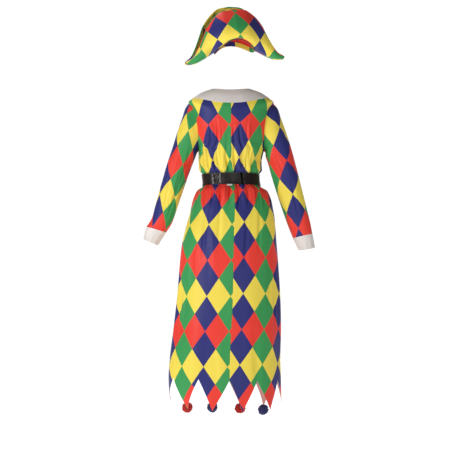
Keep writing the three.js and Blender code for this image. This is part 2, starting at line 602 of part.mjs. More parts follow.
// A pompom: a core with tapering three-sided locks of yarn, none where the hem's tip comes in.
// middle is its middle and out the way that the cloth faces there.
function pompomGeometry(middle, out) {
  const core = new THREE.IcosahedronGeometry(POMPOM_CORE, 1);
  core.deleteAttribute('normal');
  core.deleteAttribute('uv');
  const ball = mergeVertices(core, 0.01);
  const corners = ball.getAttribute('position');
  const positions = [];
  for (let i = 0; i < corners.count; i++) {
    positions.push(corners.getX(i) + middle.x, corners.getY(i) + middle.y, corners.getZ(i) + middle.z);
  }
  const faces = [];
  for (let f = 0; f < ball.index.count; f += 3) {
    const ids = [0, 1, 2].map((k) => ball.index.getX(f + k));
    const points = ids.map((id) => new THREE.Vector3().fromBufferAttribute(corners, id));
    const way = points[0].clone().add(points[1]).add(points[2]).normalize();
    faces.push({ ids, points, way, nearTip: way.z - 0.5 * Math.abs(way.dot(out)) });
  }
  faces.sort((a, b) => a.nearTip - b.nearTip);
  const index = [];
  faces.forEach(({ ids, points, way }, f) => {
    if (f >= LOCKS_PER_POMPOM) {
      index.push(...ids);
      return;
    }
    const first = positions.length / 3;
    const reach = POMPOM_RADIUS * (0.94 + 0.06 * Math.sin(f * 2.4));
    for (const point of points) {
      const end = point.clone().addScaledVector(way, -point.dot(way)).multiplyScalar(LOCK_TAPER);
      end.addScaledVector(way, reach).add(middle);
      positions.push(end.x, end.y, end.z);
    }
    for (let k = 0; k < 3; k++) {
      const next = (k + 1) % 3;
      index.push(ids[k], ids[next], first + next, ids[k], first + next, first + k);
    }
    index.push(first, first + 1, first + 2);
  });
  const geometry = new THREE.BufferGeometry();
  geometry.setAttribute('position', new THREE.Float32BufferAttribute(positions, 3));
  geometry.setIndex(index);
  return geometry;
}

// One pompom below the tip of each of the four points between the side points
function pompomPieces() {
  const tips = front[front.length - 1];
  return [0.35, 0.45, 0.55, 0.65].map((place, i) => {
    const tip = tips[Math.round((place - 0.25) * COLUMNS)];
    const out = dressSurface.normal(tip);
    const middle = tip.clone().add(new THREE.Vector3(0, 0, -GAP - POMPOM_CORE));
    const colour = i % 2 === 0 ? COLOURS.pompomRed : COLOURS.pompomBlue;
    return piece(`pompom_${i + 1}`, pompomGeometry(middle, out), colour, { roughness: 0.95, metalness: 0 });
  });
}

// The edge of the head opening at an angle from the back or the front, drawn in by a distance
function openingPoint(angle, facing, drawnIn, up) {
  return new THREE.Vector3((HEAD_HALF_WIDTH - drawnIn) * Math.sin(angle),
    facing * (HEAD_HALF_DEPTH - drawnIn) * Math.cos(angle),
    OPENING_AT_BACK - OPENING_DROP_AT_SIDES * Math.sin(angle) ** 2 + up);
}

// One section of the brim, from the head opening or the seam to the tip, round the turn-up to its
// upper edge. place runs from the middle (0) to the tip, side is +1 left or -1 right.
function brimSection(place, side, facing) {
  const row = rowAt(BRIM, place);
  const inOpening = place < BRIM.findIndex((r) => r.angle === 90);
  const start = inOpening ? openingPoint(radians(row.angle), facing, 0, 0)
    : new THREE.Vector3(row.innerX, 0, row.innerZ);
  const top = facing > 0 ? row.back : row.front;
  const wider = facing > 0 ? 0 : FRONT_BRIM_WIDER * Math.sin(Math.PI * place / (BRIM.length - 1));
  const control = [
    start,
    new THREE.Vector3(row.foldX, facing * row.foldY * 1.08, row.foldZ - 5),
    new THREE.Vector3(row.foldX * 0.6 + row.topX * 0.4, facing * row.foldY * 1.08, row.foldZ * 0.55 + top * 0.45),
    new THREE.Vector3(row.topX + wider, facing * row.topY, top),
  ];
  const bend = new THREE.CubicBezierCurve3(...control);
  return bend.getPoints(BRIM_ROWS).map((p) => new THREE.Vector3(side * p.x, p.y, p.z));
}

// A brim half as rows of points, from one tip to the other in the order that faces it outward
function brimGrid(facing) {
  const sections = [];
  for (let k = -BRIM_COLUMNS; k <= BRIM_COLUMNS; k++) {
    const place = Math.abs(k) / BRIM_COLUMNS * (BRIM.length - 1);
    sections.push(brimSection(place, k * facing < 0 ? 1 : -1, facing));
  }
  return sections[0].map((_, r) => sections.map((section) => section[r]));
}

// Angles round the head opening at which the brim has a column, once round from the centre back
function openingRound() {
  const perQuarter = BRIM_COLUMNS * BRIM.findIndex((r) => r.angle === 90) / (BRIM.length - 1);
  const quarter = [];
  for (let k = 0; k < perQuarter; k++) {
    quarter.push(radians(rowAt(BRIM, k / BRIM_COLUMNS * (BRIM.length - 1)).angle));
  }
  const half = [...quarter.map((a) => [a, 1]), [Math.PI / 2, 1], ...quarter.slice(1).reverse().map((a) => [a, -1])];
  return [...half, [0, -1], ...half.slice(1).reverse().map(([a, facing]) => [-a, facing])];
}

function hatGroup() {
  const back = brimGrid(1);
  const ahead = brimGrid(-1);
  const surface = new Surface().add(back, false, 'back').add(ahead, false, 'front');
  for (const point of [...back[0], ...ahead[0]]) surface.turn(point, new THREE.Vector3(0, 0, -1));
  const brim = { surface, thickness: BRIM_FOAM, seams: ['first row'] };
  const round = openingRound();
  const drawnIn = GAP / 2 + CROWN_CLOTH / 2;
  const bandTop = 12;
  const bandBottom = -9;
  const ring = (up) => round.map(([angle, facing]) => openingPoint(angle, facing, drawnIn, up));
  const band = [ring(bandTop), ring(bandBottom)];
  const foot = ring(bandTop + GAP);
  const crown = [];
  for (let r = CROWN_ROWS; r >= 0; r--) {
    const rise = Math.PI / 2 * r / CROWN_ROWS;
    const narrow = r === CROWN_ROWS ? 0 : Math.cos(rise) ** 0.8;
    crown.push(foot.map((p) => new THREE.Vector3(p.x * narrow, p.y * narrow,
      p.z + (CROWN_HEIGHT - p.z) * Math.sin(rise))));
  }
  const group = new THREE.Group();
  group.add(
    piece('hat_back_brim', wall(back, brim), COLOURS.green),
    piece('hat_front_brim', wall(ahead, brim), COLOURS.red),
    piece('hat_band', wall(band, { thickness: CROWN_CLOTH, closed: true }), COLOURS.yellow),
    piece('hat_crown', wall(crown, { thickness: CROWN_CLOTH, closed: true, pointed: true }), COLOURS.blue),
  );
  group.position.set(HAT_PLACE.x, HAT_PLACE.y, HAT_PLACE.z);
  group.rotation.set(radians(HAT_LEAN), radians(HAT_TILT), radians(HAT_TURN));
  return group;
}

const costume = new THREE.Group();
costume.name = 'harlequin_costume';
costume.add(...dressPieces(), collarPiece(), beltPiece(), tapePiece(), ...pompomPieces(), hatGroup());
export default costume;
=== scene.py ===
# %% [markdown]
# # A harlequin costume
# A long satin dress with a pointed hem, its white collar and cuffs, a black belt, yarn pompoms and
# a bicorne hat, all shaped as worn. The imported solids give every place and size. Each piece of cloth
# is drawn again here as a thin skin on its solid, because cloth shows far finer creases, seams and
# print than a solid that only has to collide.

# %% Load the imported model
import math

import bpy
import numpy as np
from mathutils import Euler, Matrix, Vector, noise


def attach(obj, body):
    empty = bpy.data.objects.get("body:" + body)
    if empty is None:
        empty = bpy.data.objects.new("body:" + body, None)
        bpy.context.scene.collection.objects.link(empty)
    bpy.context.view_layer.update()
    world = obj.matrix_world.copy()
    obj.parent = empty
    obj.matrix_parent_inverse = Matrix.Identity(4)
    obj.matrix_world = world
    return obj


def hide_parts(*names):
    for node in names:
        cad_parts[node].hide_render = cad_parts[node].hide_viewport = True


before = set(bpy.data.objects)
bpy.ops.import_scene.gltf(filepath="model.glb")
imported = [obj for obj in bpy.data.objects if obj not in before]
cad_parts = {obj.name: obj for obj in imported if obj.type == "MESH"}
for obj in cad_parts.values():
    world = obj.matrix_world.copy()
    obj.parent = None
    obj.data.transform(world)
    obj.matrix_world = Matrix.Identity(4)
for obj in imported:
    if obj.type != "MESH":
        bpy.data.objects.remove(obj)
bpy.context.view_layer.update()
MM = 0.001
print("packed nodes:", len(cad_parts))

# %% [markdown]
# ## Camera
# The costume is seen from behind, from five metres and a little below its middle, so that its
# upright lines stay nearly parallel. The lens follows from how many pixels a metre covers there.

# %% Camera
PICTURE_WIDTH = 452
PIXELS_PER_SLOPE = 1154.7
SENSOR = 36.0
camera_data = bpy.data.cameras.new("studio_camera")
camera_data.sensor_width = SENSOR
camera_data.lens = SENSOR * PIXELS_PER_SLOPE / PICTURE_WIDTH
camera = bpy.data.objects.new("studio_camera", camera_data)
camera.location = (0.0217, 5.0, -0.909)
camera.rotation_euler = Euler((math.radians(90 + 3.67), 0, math.radians(180)))
bpy.context.scene.collection.objects.link(camera)
bpy.context.scene.camera = camera
bpy.context.scene.view_settings.view_transform = "Standard"
print("lens", round(camera_data.lens, 1), "mm")

# %% [markdown]
# ## Tables and smooth curves
# Every form below comes from a short table of measured rings. A table could be joined by straight
# lines, or by a free spline that swings past its points. Here each value follows a curve that
# passes through the table and never overshoots it, so a narrow waist stays where it was measured.

# %% Table helpers
def table(names, *rows):
    """A small table with named columns."""
    return dict(zip(names.split(), np.array(rows, float).T))


def thousandths(names, *rows):
    """A table whose places and widths are written in thousandths of the way round."""
    fine = ("at", "lean", "drift", "wide")
    return {name: column / (1000 if name in fine else 1) for name, column in table(names, *rows).items()}


def smooth(values, place):
    """A column's value at a fractional row, on a curve that never overshoots."""
    values = np.asarray(values, float)
    rise = np.diff(values, axis=0)
    before, after = rise[:-1], rise[1:]
    total = np.where(before + after == 0, 1, before + after)
    inner = np.where(before * after > 0, 2 * before * after / total, 0)
    slope = np.concatenate([rise[:1], inner, rise[-1:]])
    place = np.asarray(place, float)
    i = np.clip(np.floor(place).astype(int), 0, len(values) - 2)
    t = (place - i).reshape(place.shape + (1,) * (values.ndim - 1))
    t2, t3 = t * t, t * t * t
    start = (2 * t3 - 3 * t2 + 1) * values[i] + (t3 - 2 * t2 + t) * slope[i]
    return start + (3 * t2 - 2 * t3) * values[i + 1] + (t3 - t2) * slope[i + 1]


def at(columns, place):
    """Every column of a table at a fractional row."""
    return {name: smooth(values, place) for name, values in columns.items()}


def bump(distance):
    """A soft hill: 1 in the middle, 0 at a distance of 1 and beyond."""
    d = np.minimum(np.abs(distance), 1)
    return (1 - d * d) ** 2


def round_distance(place, middle):
    """Distance on a circle of length 1."""
    return (place - middle + 0.5) % 1 - 0.5


def unit(vectors):
    return vectors / np.maximum(np.linalg.norm(vectors, axis=-1, keepdims=True), 1e-9)


print("a hill half way down:", bump(0.5))

# %% [markdown]
# ## The dress's form
# The dress is three long panels: one front and two backs that meet in a centre seam. Rings round
# the body, from the neck to the hem, give its width and depth. A place round a ring runs from the
# centre back (0) over the left side (0.25), the centre front (0.5) and the right side (0.75).

# %% Rings round the body
RINGS = table(
    "side back front wide deep cx cy power off_back off_front armhole gather steps",
    (0, -2, -58, 93, 68, 0, -4, 2.0, 0, 0, 0, 0, 4),
    (-13, -32, -92, 132, 94, 0, -6, 2.0, 0, 0, 0, 0, 4),
    (-38, -66, -128, 168, 108, 0, -6, 2.1, 0, 0, 0, 0, 3),
    (-51, -92, -150, 186, 113, 0, -6, 2.2, 0, 0, 0, 0, 8),
    (-84, -122, -171, 171, 114, 0, -6, 2.3, 0, 0, 21, 0, 8),
    (-146, -166, -198, 164, 115, 0, -8, 2.3, 0, 0, 28, 0, 8),
    (-199, -208, -223, 154, 117, 0, -10, 2.3, 0, 0, 24, 0.5, 8),
    (-237, -240, -244, 144, 116, 0, -11, 2.3, 0, 0, 13, 1, 8),
    (-258, -258, -258, 141, 115, 0, -11, 2.2, -2, 0, 0, 1.5, 8),
    (-306, -306, -306, 134, 108, 5, -9, 2.2, -6, 0, 0, 3, 8),
    (-344, -344, -344, 131, 102, 3, -6, 2.1, -9, 0, 0, 4.5, 5),
    (-365, -365, -365, 119, 94, 1, -4, 2.1, -11, 0, 0, 1.5, 3),
    (-390, -390, -390, 118, 93, -1, -3, 2.1, -12, 0, 0, 1.5, 3),
    (-415, -415, -415, 120, 94, -3, -2, 2.1, -12, 0, 0, 1.5, 5),
    (-434, -434, -434, 146, 106, -4, 0, 2.1, -12, 0, 0, 4.5, 7),
    (-474, -474, -474, 166, 114, -4, 3, 2.1, -12, 0, 0, 3, 7),
    (-530, -530, -530, 180, 122, -4, 6, 2.1, -12, 0, 0, 1, 7),
    (-600, -600, -600, 194, 129, 2, 7, 2.1, -15, -1, 0, 0.5, 9),
    (-700, -700, -700, 208, 135, 8, 6, 2.05, -19, -2, 0, 0, 13),
    (-860, -860, -860, 220, 141, 9, 4, 2.0, -17, -5, 0, 0, 13),
    (-1030, -1030, -1030, 231, 147, 16, 3, 2.0, -17, -6, 0, 0, 10),
    (-1150, -1150, -1150, 237, 150, 25, 2, 2.0, -20, -8, 0, 0, 6),
    (-1213, -1213, -1213, 241, 152, 27, 2, 2.0, -21, -8, 0, 0, 0),
)
COLLAR_EDGE, SHOULDER_END, UNDERARM, BELT_TOP = 2, 3, 8, 11
LAST_RING = len(RINGS["side"]) - 1
GATHERS = 20
HEM_POINTS = 10
POINT_LENGTH = 128
PLAIN_HEM = 30
SIDE_POINT_CURL = 34
HEM_DROP_TO_RIGHT = 0.027
HEM_ROWS = 20
print("rings:", LAST_RING + 1)

# %% [markdown]
# Folds and gathers are hills and troughs on the rings. The solids carry the larger ones. The short
# sharp creases that the belt presses into the satin are added here, one by one, where they show at
# the back, and likewise where the front has to gather in the same way. Places and widths are
# written in thousandths of the way round, heights in millimetres.

# %% Folds of the dress
FOLDS = thousandths(
    "at wide high top bottom",
    (65, 30, 5, -110, -372), (150, 28, 4, -170, -372), (965, 30, 4.5, -120, -372),
    (880, 30, 4.5, -150, -372), (400, 35, 5, -150, -372), (590, 35, 5, -150, -372),
    (205, 35, -8, -760, -1190), (120, 45, 5, -900, -1420), (930, 50, 4, -620, -1420),
    (800, 40, -7, -560, -1420), (330, 40, -8, -560, -1420), (440, 45, 7, -640, -1420),
    (560, 45, 6, -600, -1420), (670, 40, -8, -680, -1420),
)
CREASES = thousandths(
    "at lean wide high top bottom",
    (104, 4, 9, -8, -262, -372), (86, 2, 12, 5, -240, -372), (30, 3, 8, -5.5, -270, -372),
    (12, 2, 9, 3.5, -250, -372), (140, -4, 8, -5, -285, -372), (986, -2, 8, -5, -270, -372),
    (948, 3, 9, -6, -255, -372), (966, 2, 9, 4, -280, -372), (60, 2, 10, -3.5, -290, -372),
    (915, -3, 10, -5, -280, -372), (178, 4, 10, -5, -235, -372), (880, 2, 10, -4, -250, -372),
    (110, 6, 8, -7.5, -408, -520), (94, 4, 8, 4.5, -408, -490), (71, 3, 7, -6.5, -408, -545),
    (48, 2, 7, 4, -408, -500), (28, 2, 7, -5.5, -408, -505), (6, 1, 7, 3.5, -408, -500),
    (984, -3, 8, -7, -408, -540), (960, -3, 8, 4.5, -408, -500), (937, -4, 8, -6.5, -408, -520),
    (915, -5, 8, 4, -408, -500), (893, -6, 8, -6.5, -408, -530), (148, 7, 9, -6, -408, -525),
    (200, 7, 10, -5, -408, -530), (850, -7, 10, -6, -408, -535), (795, -7, 10, -5, -408, -530),
    (300, 2, 10, -6, -408, -525), (360, 3, 9, -5.5, -408, -505), (425, 2, 9, -6, -408, -540),
    (480, 1, 9, -5.5, -408, -500), (530, -1, 9, -6, -408, -520), (585, -2, 9, -5.5, -408, -505),
    (640, -3, 9, -6, -408, -535), (700, -2, 10, -5.5, -408, -510), (320, 0, 10, -5.5, -250, -372),
    (395, 2, 10, 3.5, -270, -372), (455, 2, 9, -5, -280, -372), (510, 0, 9, 4, -260, -372),
    (555, -2, 9, -5, -285, -372), (620, -2, 10, 3.5, -265, -372), (680, 0, 10, -5.5, -250, -372),
    (130, 12, 20, 3, -120, -250), (885, -12, 20, 3, -120, -250), (218, 16, 14, -5, -770, -980),
    (196, -12, 12, 4, -860, -1100), (75, 10, 22, 3, -560, -860), (955, -8, 22, 3, -520, -760),
    (160, 10, 18, -3, -620, -900), (845, -10, 18, -3.5, -640, -960), (30, 6, 20, 2.5, -1000, -1300),
    (905, 6, 22, -3, -980, -1320), (138, 7, 11, -5.5, -112, -372), (114, 5, 12, 3.5, -140, -372),
    (92, -5, 10, -5, -118, -350), (58, 4, 10, -4, -125, -372), (38, -3, 10, 2.5, -170, -372),
    (985, -3, 10, -4.5, -130, -340), (944, 5, 10, -4.5, -118, -372), (922, 4, 12, 3, -150, -372),
    (897, -6, 11, -5.5, -115, -372), (362, 6, 11, -5, -175, -372), (425, -5, 10, -4.5, -185, -350),
    (475, 3, 10, -4, -190, -372), (530, -3, 10, -4.5, -180, -340), (575, 4, 10, -4, -185, -372),
    (640, -6, 11, -5, -175, -372), (118, 6, 14, -4, -500, -760), (60, 5, 13, -3.5, -480, -700),
    (950, -6, 14, -4.5, -500, -800), (890, -7, 14, -4, -490, -740), (175, 8, 16, -4.5, -820, -1120),
    (820, -8, 14, -4.5, -700, -1100),
)
CREASE_DEPTH = 1.35
BELT_HEIGHT, GATHERED_ABOVE, GATHERED_BELOW = -390, 105, 125
SHIRRING = ((37, 1.5, 0.1, 0.10), (53, 1.1, 0.4, 0.12), (71, 0.7, 0.7, 0.15))
SHIRRING_WAVE = 0.045


def fold_height(ring, places, z):
    """How far folds, gathers and creases lift the cloth."""
    def along(top, bottom):
        return (z - (top + bottom) / 2) / ((top - bottom) / 2)

    height = np.zeros_like(places)
    for at_, wide, high, *ends in zip(*FOLDS.values()):
        height += high * bump(round_distance(places, at_) / wide) * bump(along(*ends))
    for at_, lean, wide, high, *ends in zip(*CREASES.values()):
        away = round_distance(places, at_ + lean * along(*ends))
        height += CREASE_DEPTH * high * bump(away / wide) * bump(along(*ends))
    uneven = 1 + 0.3 * np.sin(places * 14 * math.pi) + 0.2 * np.sin(places * 6 * math.pi + 1)
    height += ring["gather"] * uneven * np.cos(places * 2 * math.pi * GATHERS)
    near_belt = bump((z - BELT_HEIGHT) / np.where(z > BELT_HEIGHT, GATHERED_ABOVE, GATHERED_BELOW))
    for waves, high, shift, bend in SHIRRING:
        turned = places * waves + shift + bend * np.sin(z * SHIRRING_WAVE + waves)
        height += high * near_belt * np.sin(2 * math.pi * turned)
    return height


print("creases placed by hand:", len(CREASES["at"]))

# %% [markdown]
# One row of the dress's cloth is a line of points at one level. Above the underarm each quarter
# of it ends at an armhole; below, the rings are closed.

# %% Rows of cloth round the body
def ring_points(ring, angle):
    """Points of a ring: angle 0 is the left side, 90 degrees the back."""
    c, s = np.cos(angle), np.sin(angle)
    power = 2 / ring["power"]
    x = ring["cx"] + ring["wide"] * np.sign(c) * np.abs(c) ** power
    y = ring["cy"] + ring["deep"] * np.sign(s) * np.abs(s) ** power
    tilt = (ring["back"] - ring["front"]) / 2
    bow = (ring["back"] + ring["front"]) / 2 - ring["side"]
    return np.stack([x, y, ring["side"] + tilt * s + bow * s * s], -1)


def angles_along(ring, start, end, shares):
    """Angles at even shares of the way along a ring."""
    angle = np.linspace(start, end, 97)
    step = np.linalg.norm(np.diff(ring_points(ring, angle), axis=0), axis=1)
    length = np.concatenate([[0], np.cumsum(step)])
    return np.interp(np.asarray(shares) * length[-1], length, angle)


def body_angles(ring, level, places, quarters):
    def off_angle(off):
        return math.acos(math.copysign(abs(off / ring["wide"]) ** (ring["power"] / 2), off))

    back, front = off_angle(ring["off_back"]), -off_angle(ring["off_front"])
    edge = math.radians(ring["armhole"])
    turn = 2 * math.pi
    if level >= UNDERARM:
        half = [(back, front, 0), (back, front, 0), (front, back - turn, 1), (front, back - turn, 1)]
        spans = [(start, end, 2, first) for start, end, first in half]
    else:
        spans = [(back, edge, 4, 0), (-edge, front, 4, 1), (front, edge - math.pi, 4, 2),
                 (-math.pi - edge, back - turn, 4, 3)]
    angle = np.zeros_like(places)
    for quarter, (start, end, scale, first) in enumerate(spans):
        mine = quarters == quarter
        if mine.any():
            angle[mine] = angles_along(ring, start, end, places[mine] * scale - first)
    return angle


def cloth_row(level, places, quarters, raised=0.0, folds=True):
    """Points of the dress's cloth at one level, moved out by raised."""
    ring = at(RINGS, level)
    points = ring_points(ring, body_angles(ring, level, places, quarters))
    flat = (points[:, :2] - [ring["cx"], ring["cy"]]) / [ring["wide"] ** 2, ring["deep"] ** 2]
    outward = unit(np.column_stack([flat, np.zeros(len(flat))]))
    height = raised + (fold_height(ring, places, points[:, 2]) if folds else 0)
    return points + outward * np.reshape(height, (-1, 1))


def quarter_of(places):
    return np.minimum(np.floor((places % 1) * 4 + 1e-9).astype(int), 3)


print("quarters of the cloth:", quarter_of(np.arange(4) / 4))

# %% [markdown]
# A panel is a stack of such rows. Its hem runs down into points: each column goes on straight
# down, furthest in the middle of a point. The side points hang in a little under their weight.
# Along its two seams the satin dips, because the stitches pull it in.

# %% Panels
COLUMNS = 480
SEAM_DIP = 1.1
TIP_SHIFTS = np.array([(3, 0, 0), (-6, 0, 0), (24, -16, 22), (-10, 0, 0), (-7, 0, 0), (-5, 0, 0), (-4, 0, 0),
                       (-30, -14, 24), (-22, 4, 3), (2, 0, 0)])
TIP_WAVES = ((4, 3, 0.7), (3, 7, 0))
HIPS, BELOW_HIPS = -430, 800


def body_levels():
    levels = []
    for i, steps in enumerate(RINGS["steps"].astype(int)):
        levels += [i + k / steps for k in range(steps)]
    return levels + [LAST_RING]


LEVELS = body_levels()


def panel_grid(first, last, folds=True):
    """A panel's middle surface, row by row, between two of the body's columns."""
    columns = np.arange(first, last + 1)
    places = columns / COLUMNS
    quarters = np.clip(np.floor((columns + 0.5) * 4 / COLUMNS).astype(int), 0, 3)
    quarters[-1] = quarters[-2]
    rows = [cloth_row(level, places, quarters, 0, folds) for level in LEVELS]
    for row in rows:
        lower = np.clip((-row[:, 2] + HIPS) / BELOW_HIPS, 0, 1)
        row[:, 2] += HEM_DROP_TO_RIGHT * row[:, 0] * lower
    start = rows[-1]
    ring = at(RINGS, LAST_RING)
    down = unit(unit(start - rows[-2]) + [0, 0, -1])
    points = places * HEM_POINTS
    tips = (1 - np.abs((points - np.floor(points + 1e-9)) * 2 - 1))[:, None]
    sideways = ((start[:, 0] - ring["cx"]) / ring["wide"])[:, None]
    outward = unit(start * [1, 1, 0] - [ring["cx"], ring["cy"], 0])
    own_shift = TIP_SHIFTS[np.floor(points - 1e-9).astype(int)]
    lift = sum(high * np.sin(places * 2 * math.pi * count + shift) for high, count, shift in TIP_WAVES)
    for k in range(1, HEM_ROWS + 1):
        share = k / HEM_ROWS
        hang = start + down * (share * (PLAIN_HEM + POINT_LENGTH * tips))
        curl = SIDE_POINT_CURL * (share * tips) ** 2 * sideways ** 3
        hang = hang + np.concatenate([-curl, -np.abs(curl) / 2, 0 * curl], 1)
        rows.append(hang + (outward * lift[:, None] + own_shift) * (share * tips) ** 2)
    return np.array(rows)


def normals_of(grid, closed=False):
    """Outward directions of a grid of points."""
    down = np.gradient(grid, axis=0)
    if closed:
        along = (np.roll(grid, -1, axis=1) - np.roll(grid, 1, axis=1)) / 2
    else:
        along = np.gradient(grid, axis=1)
    return unit(np.cross(along, down))


def dip_edges(grid):
    """Pulls a panel's two sewn edges in."""
    normal = normals_of(grid)
    sunk = grid.copy()
    for column in (0, -1):
        sunk[:, column] -= normal[:, column] * SEAM_DIP
    return sunk


QUARTER = COLUMNS // 4
BACK_LEFT = dip_edges(panel_grid(0, QUARTER))
FRONT = dip_edges(panel_grid(QUARTER, 3 * QUARTER))
BACK_RIGHT = dip_edges(panel_grid(3 * QUARTER, COLUMNS))
print("front panel:", FRONT.shape[0], "rows of", FRONT.shape[1], "points")

# %% [markdown]
# ## The print's place on the cloth
# The harlequin print is a lattice of long diamonds, 101 mm wide and 149 mm high. It was printed on
# the flat cloth, so it has to follow the cloth and not the world: two numbers per point say how
# many diamonds across and down it lies. They are kept as a UV map. Across is measured along each
# row from the panel's straight-grain line. Where the belt draws the cloth together, more of it
# lies in the same width.

# %% Print maps of the panels
DIAMOND_WIDTH = 101
DIAMOND_HEIGHT = 149
DRIFT_TOP, DRIFT_REACH = 1150, 200
SPREAD = table("z factor", (1420, 1.0), (740, 1.0), (588, 1.02), (520, 1.12), (453, 1.30), (385, 1.34),
               (316, 1.34), (240, 1.24), (166, 1.12), (60, 1.05), (0, 1.0))
ROWS_LEFT = table("z count", (1332.6, 3), (1187.8, 2), (1040.3, 1), (893.2, 0), (741.9, -1), (589.5, -2),
                  (449.5, -3), (310.3, -4), (159.4, -5), (113, -5.5), (15, -6))
ROWS_RIGHT = table("z count", (1327, 3), (1179.5, 2), (1032.0, 1), (881.5, 0), (728.4, -1), (579.4, -2),
                   (442.7, -3), (300.6, -4), (152, -5), (106, -5.5), (8, -6))


def count_down(rows, z):
    """Diamonds counted down the cloth at a height."""
    z = -z
    low, high = rows["z"][::-1], rows["count"][::-1]
    inside = np.interp(z, low, high)
    step = (high[-1] - high[-2]) / (low[-1] - low[-2])
    above = (high[1] - high[0]) / (low[1] - low[0])
    inside = np.where(z > low[-1], high[-1] + (z - low[-1]) * step, inside)
    return np.where(z < low[0], high[0] + (z - low[0]) * above, inside)


def panel_print(first, last, grain_column, offset, rows, drift=0):
    """Print map of a panel, counted across from its straight-grain column. drift moves it at the hem."""
    plain = panel_grid(first, last, folds=False)
    step = np.linalg.norm(np.diff(plain, axis=1)[:, :, :2], axis=2)
    arc = np.concatenate([np.zeros((len(plain), 1)), np.cumsum(step, axis=1)], 1)
    arc -= arc[:, grain_column:grain_column + 1] if grain_column >= 0 else arc[:, -1:]
    drawn = np.interp(-plain[:, :, 2], SPREAD["z"][::-1], SPREAD["factor"][::-1])
    low = np.clip((-plain[:, :, 2] - DRIFT_TOP) / DRIFT_REACH, 0, 1)
    across = (arc * drawn + offset + drift * low) / DIAMOND_WIDTH
    return np.stack([across, count_down(rows, plain[:, :, 2])], -1)


BACK_LEFT_PRINT = panel_print(0, QUARTER, 0, -10, ROWS_LEFT)
FRONT_PRINT = panel_print(QUARTER, 3 * QUARTER, QUARTER, 0, ROWS_LEFT)
BACK_RIGHT_PRINT = panel_print(3 * QUARTER, COLUMNS, -1, -58, ROWS_RIGHT, drift=-9)
print("diamonds across the front at the hem:", round(float(np.ptp(FRONT_PRINT[-HEM_ROWS, :, 0])), 1))

# %% [markdown]
# ## Sleeves and cuffs
# A set-in sleeve grows out of the armhole, so its first row is the armhole's own line of points.
# Further down it follows rings measured along the arm. Its creases run along the arm and bunch up
# inside the elbow. Their first and last say between which rings they lie.

# %% Sleeve tables
SLEEVE_COLUMNS = "outer_x outer_z inner_x inner_z y deep"
LEFT_SLEEVE = table(
    SLEEVE_COLUMNS, (199, -73, 149, -270, -8, 64), (213, -116, 153, -280, -8, 64),
    (233, -175, 157, -291, -7, 61), (258, -256, 164, -309, -6, 56), (279, -320, 181, -354, -7, 53),
    (296, -379, 201, -411, -10, 51), (313, -438, 221, -469, -15, 48), (329, -495, 240, -525, -22, 45),
    (345, -552, 259, -576, -30, 42), (369, -590, 284, -615, -36, 38),
)
RIGHT_SLEEVE = table(
    SLEEVE_COLUMNS, (-203, -73, -151, -270, -8, 64), (-218, -116, -151, -280, -8, 64),
    (-239, -175, -153, -290, -7, 61), (-266, -262, -159, -306, -6, 57), (-283, -326, -173, -359, -6, 55),
    (-299, -389, -192, -420, -8, 53), (-315, -452, -212, -482, -12, 50), (-331, -514, -233, -543, -18, 47),
    (-345, -571, -253, -597, -25, 43), (-355, -621, -271, -640, -30, 38),
)
LEFT_CUFF = table(SLEEVE_COLUMNS, (369, -590, 284, -615, -36, 38), (376, -616, 302, -643, -38, 36),
                  (382, -643, 319, -671, -40, 35))
RIGHT_CUFF = table(SLEEVE_COLUMNS, (-355, -621, -271, -640, -30, 38), (-361, -651, -283, -666, -32, 37),
                   (-366, -681, -295, -692, -33, 36))
ARM_CREASES = "at drift wide deep first last"
SLEEVE_CREASES = thousandths(
    ARM_CREASES,
    (220, 100, 90, 4, 2, 9), (420, -100, 80, 5, 3, 7), (680, 80, 90, 5, 4, 10), (880, -60, 80, 4, 1, 6),
)
LEFT_SLEEVE_CREASES = thousandths(
    ARM_CREASES,
    (300, 80, 30, 2.6, 1.5, 6.5), (140, 120, 35, 3, 3.5, 9), (360, -40, 28, 2.4, 5, 9.5),
    (250, 60, 25, -2, 4, 8), (460, 50, 30, 2.5, 4, 6.5), (500, -50, 30, 2.5, 5.2, 7.4),
    (600, 50, 35, 3, 2.5, 7.5), (780, -50, 35, 3, 5, 9.5), (950, 50, 35, 2.5, 3, 8),
)
RIGHT_SLEEVE_CREASES = thousandths(
    ARM_CREASES,
    (330, -70, 30, 2.6, 3, 6), (180, 80, 30, 2.6, 5, 9.3), (280, 100, 26, 2.4, 6.5, 9.8),
    (400, 60, 28, 2.4, 4.6, 7), (100, -60, 35, 2.5, 1.5, 5.5), (500, 50, 30, 2.5, 4.2, 6.6),
    (620, 50, 35, 3, 3, 7.5), (800, -50, 35, 3, 4.5, 9), (960, 50, 35, 2.5, 4, 9),
)
LEFT_CUFF_CREASES = thousandths(
    ARM_CREASES,
    (140, 120, 45, 3, 0, 3.2), (330, -80, 35, 2.8, 0, 3), (700, 100, 50, 3, 0, 3.2),
)
RIGHT_CUFF_CREASES = thousandths(
    ARM_CREASES,
    (340, -60, 40, 3.4, 0, 3.2), (170, 80, 40, 2.2, 0, 3), (750, 100, 50, 3, 0, 3.2),
)
SLEEVE_CREASE_DEPTH = 1.75
LOOP = 80
ROWS_PER_RING, CUFF_ROWS = 8, 25
print("rings of a sleeve measured on the arm:", len(LEFT_SLEEVE["y"]))

# %% [markdown]
# A sleeve could be a plain swept tube that is pushed into the dress. It then leaves a gap or a lump
# at the seam, so here the armhole's points are its first row, and a cuff starts on the sleeve's last.

# %% Sleeve and cuff grids
def armhole(back_panel, back_column, front_column):
    """The armhole's points on the back and on the front, both from the shoulder down."""
    span = slice(LEVELS.index(SHOULDER_END), LEVELS.index(UNDERARM) + 1)
    return back_panel[span, back_column], FRONT[span, front_column]


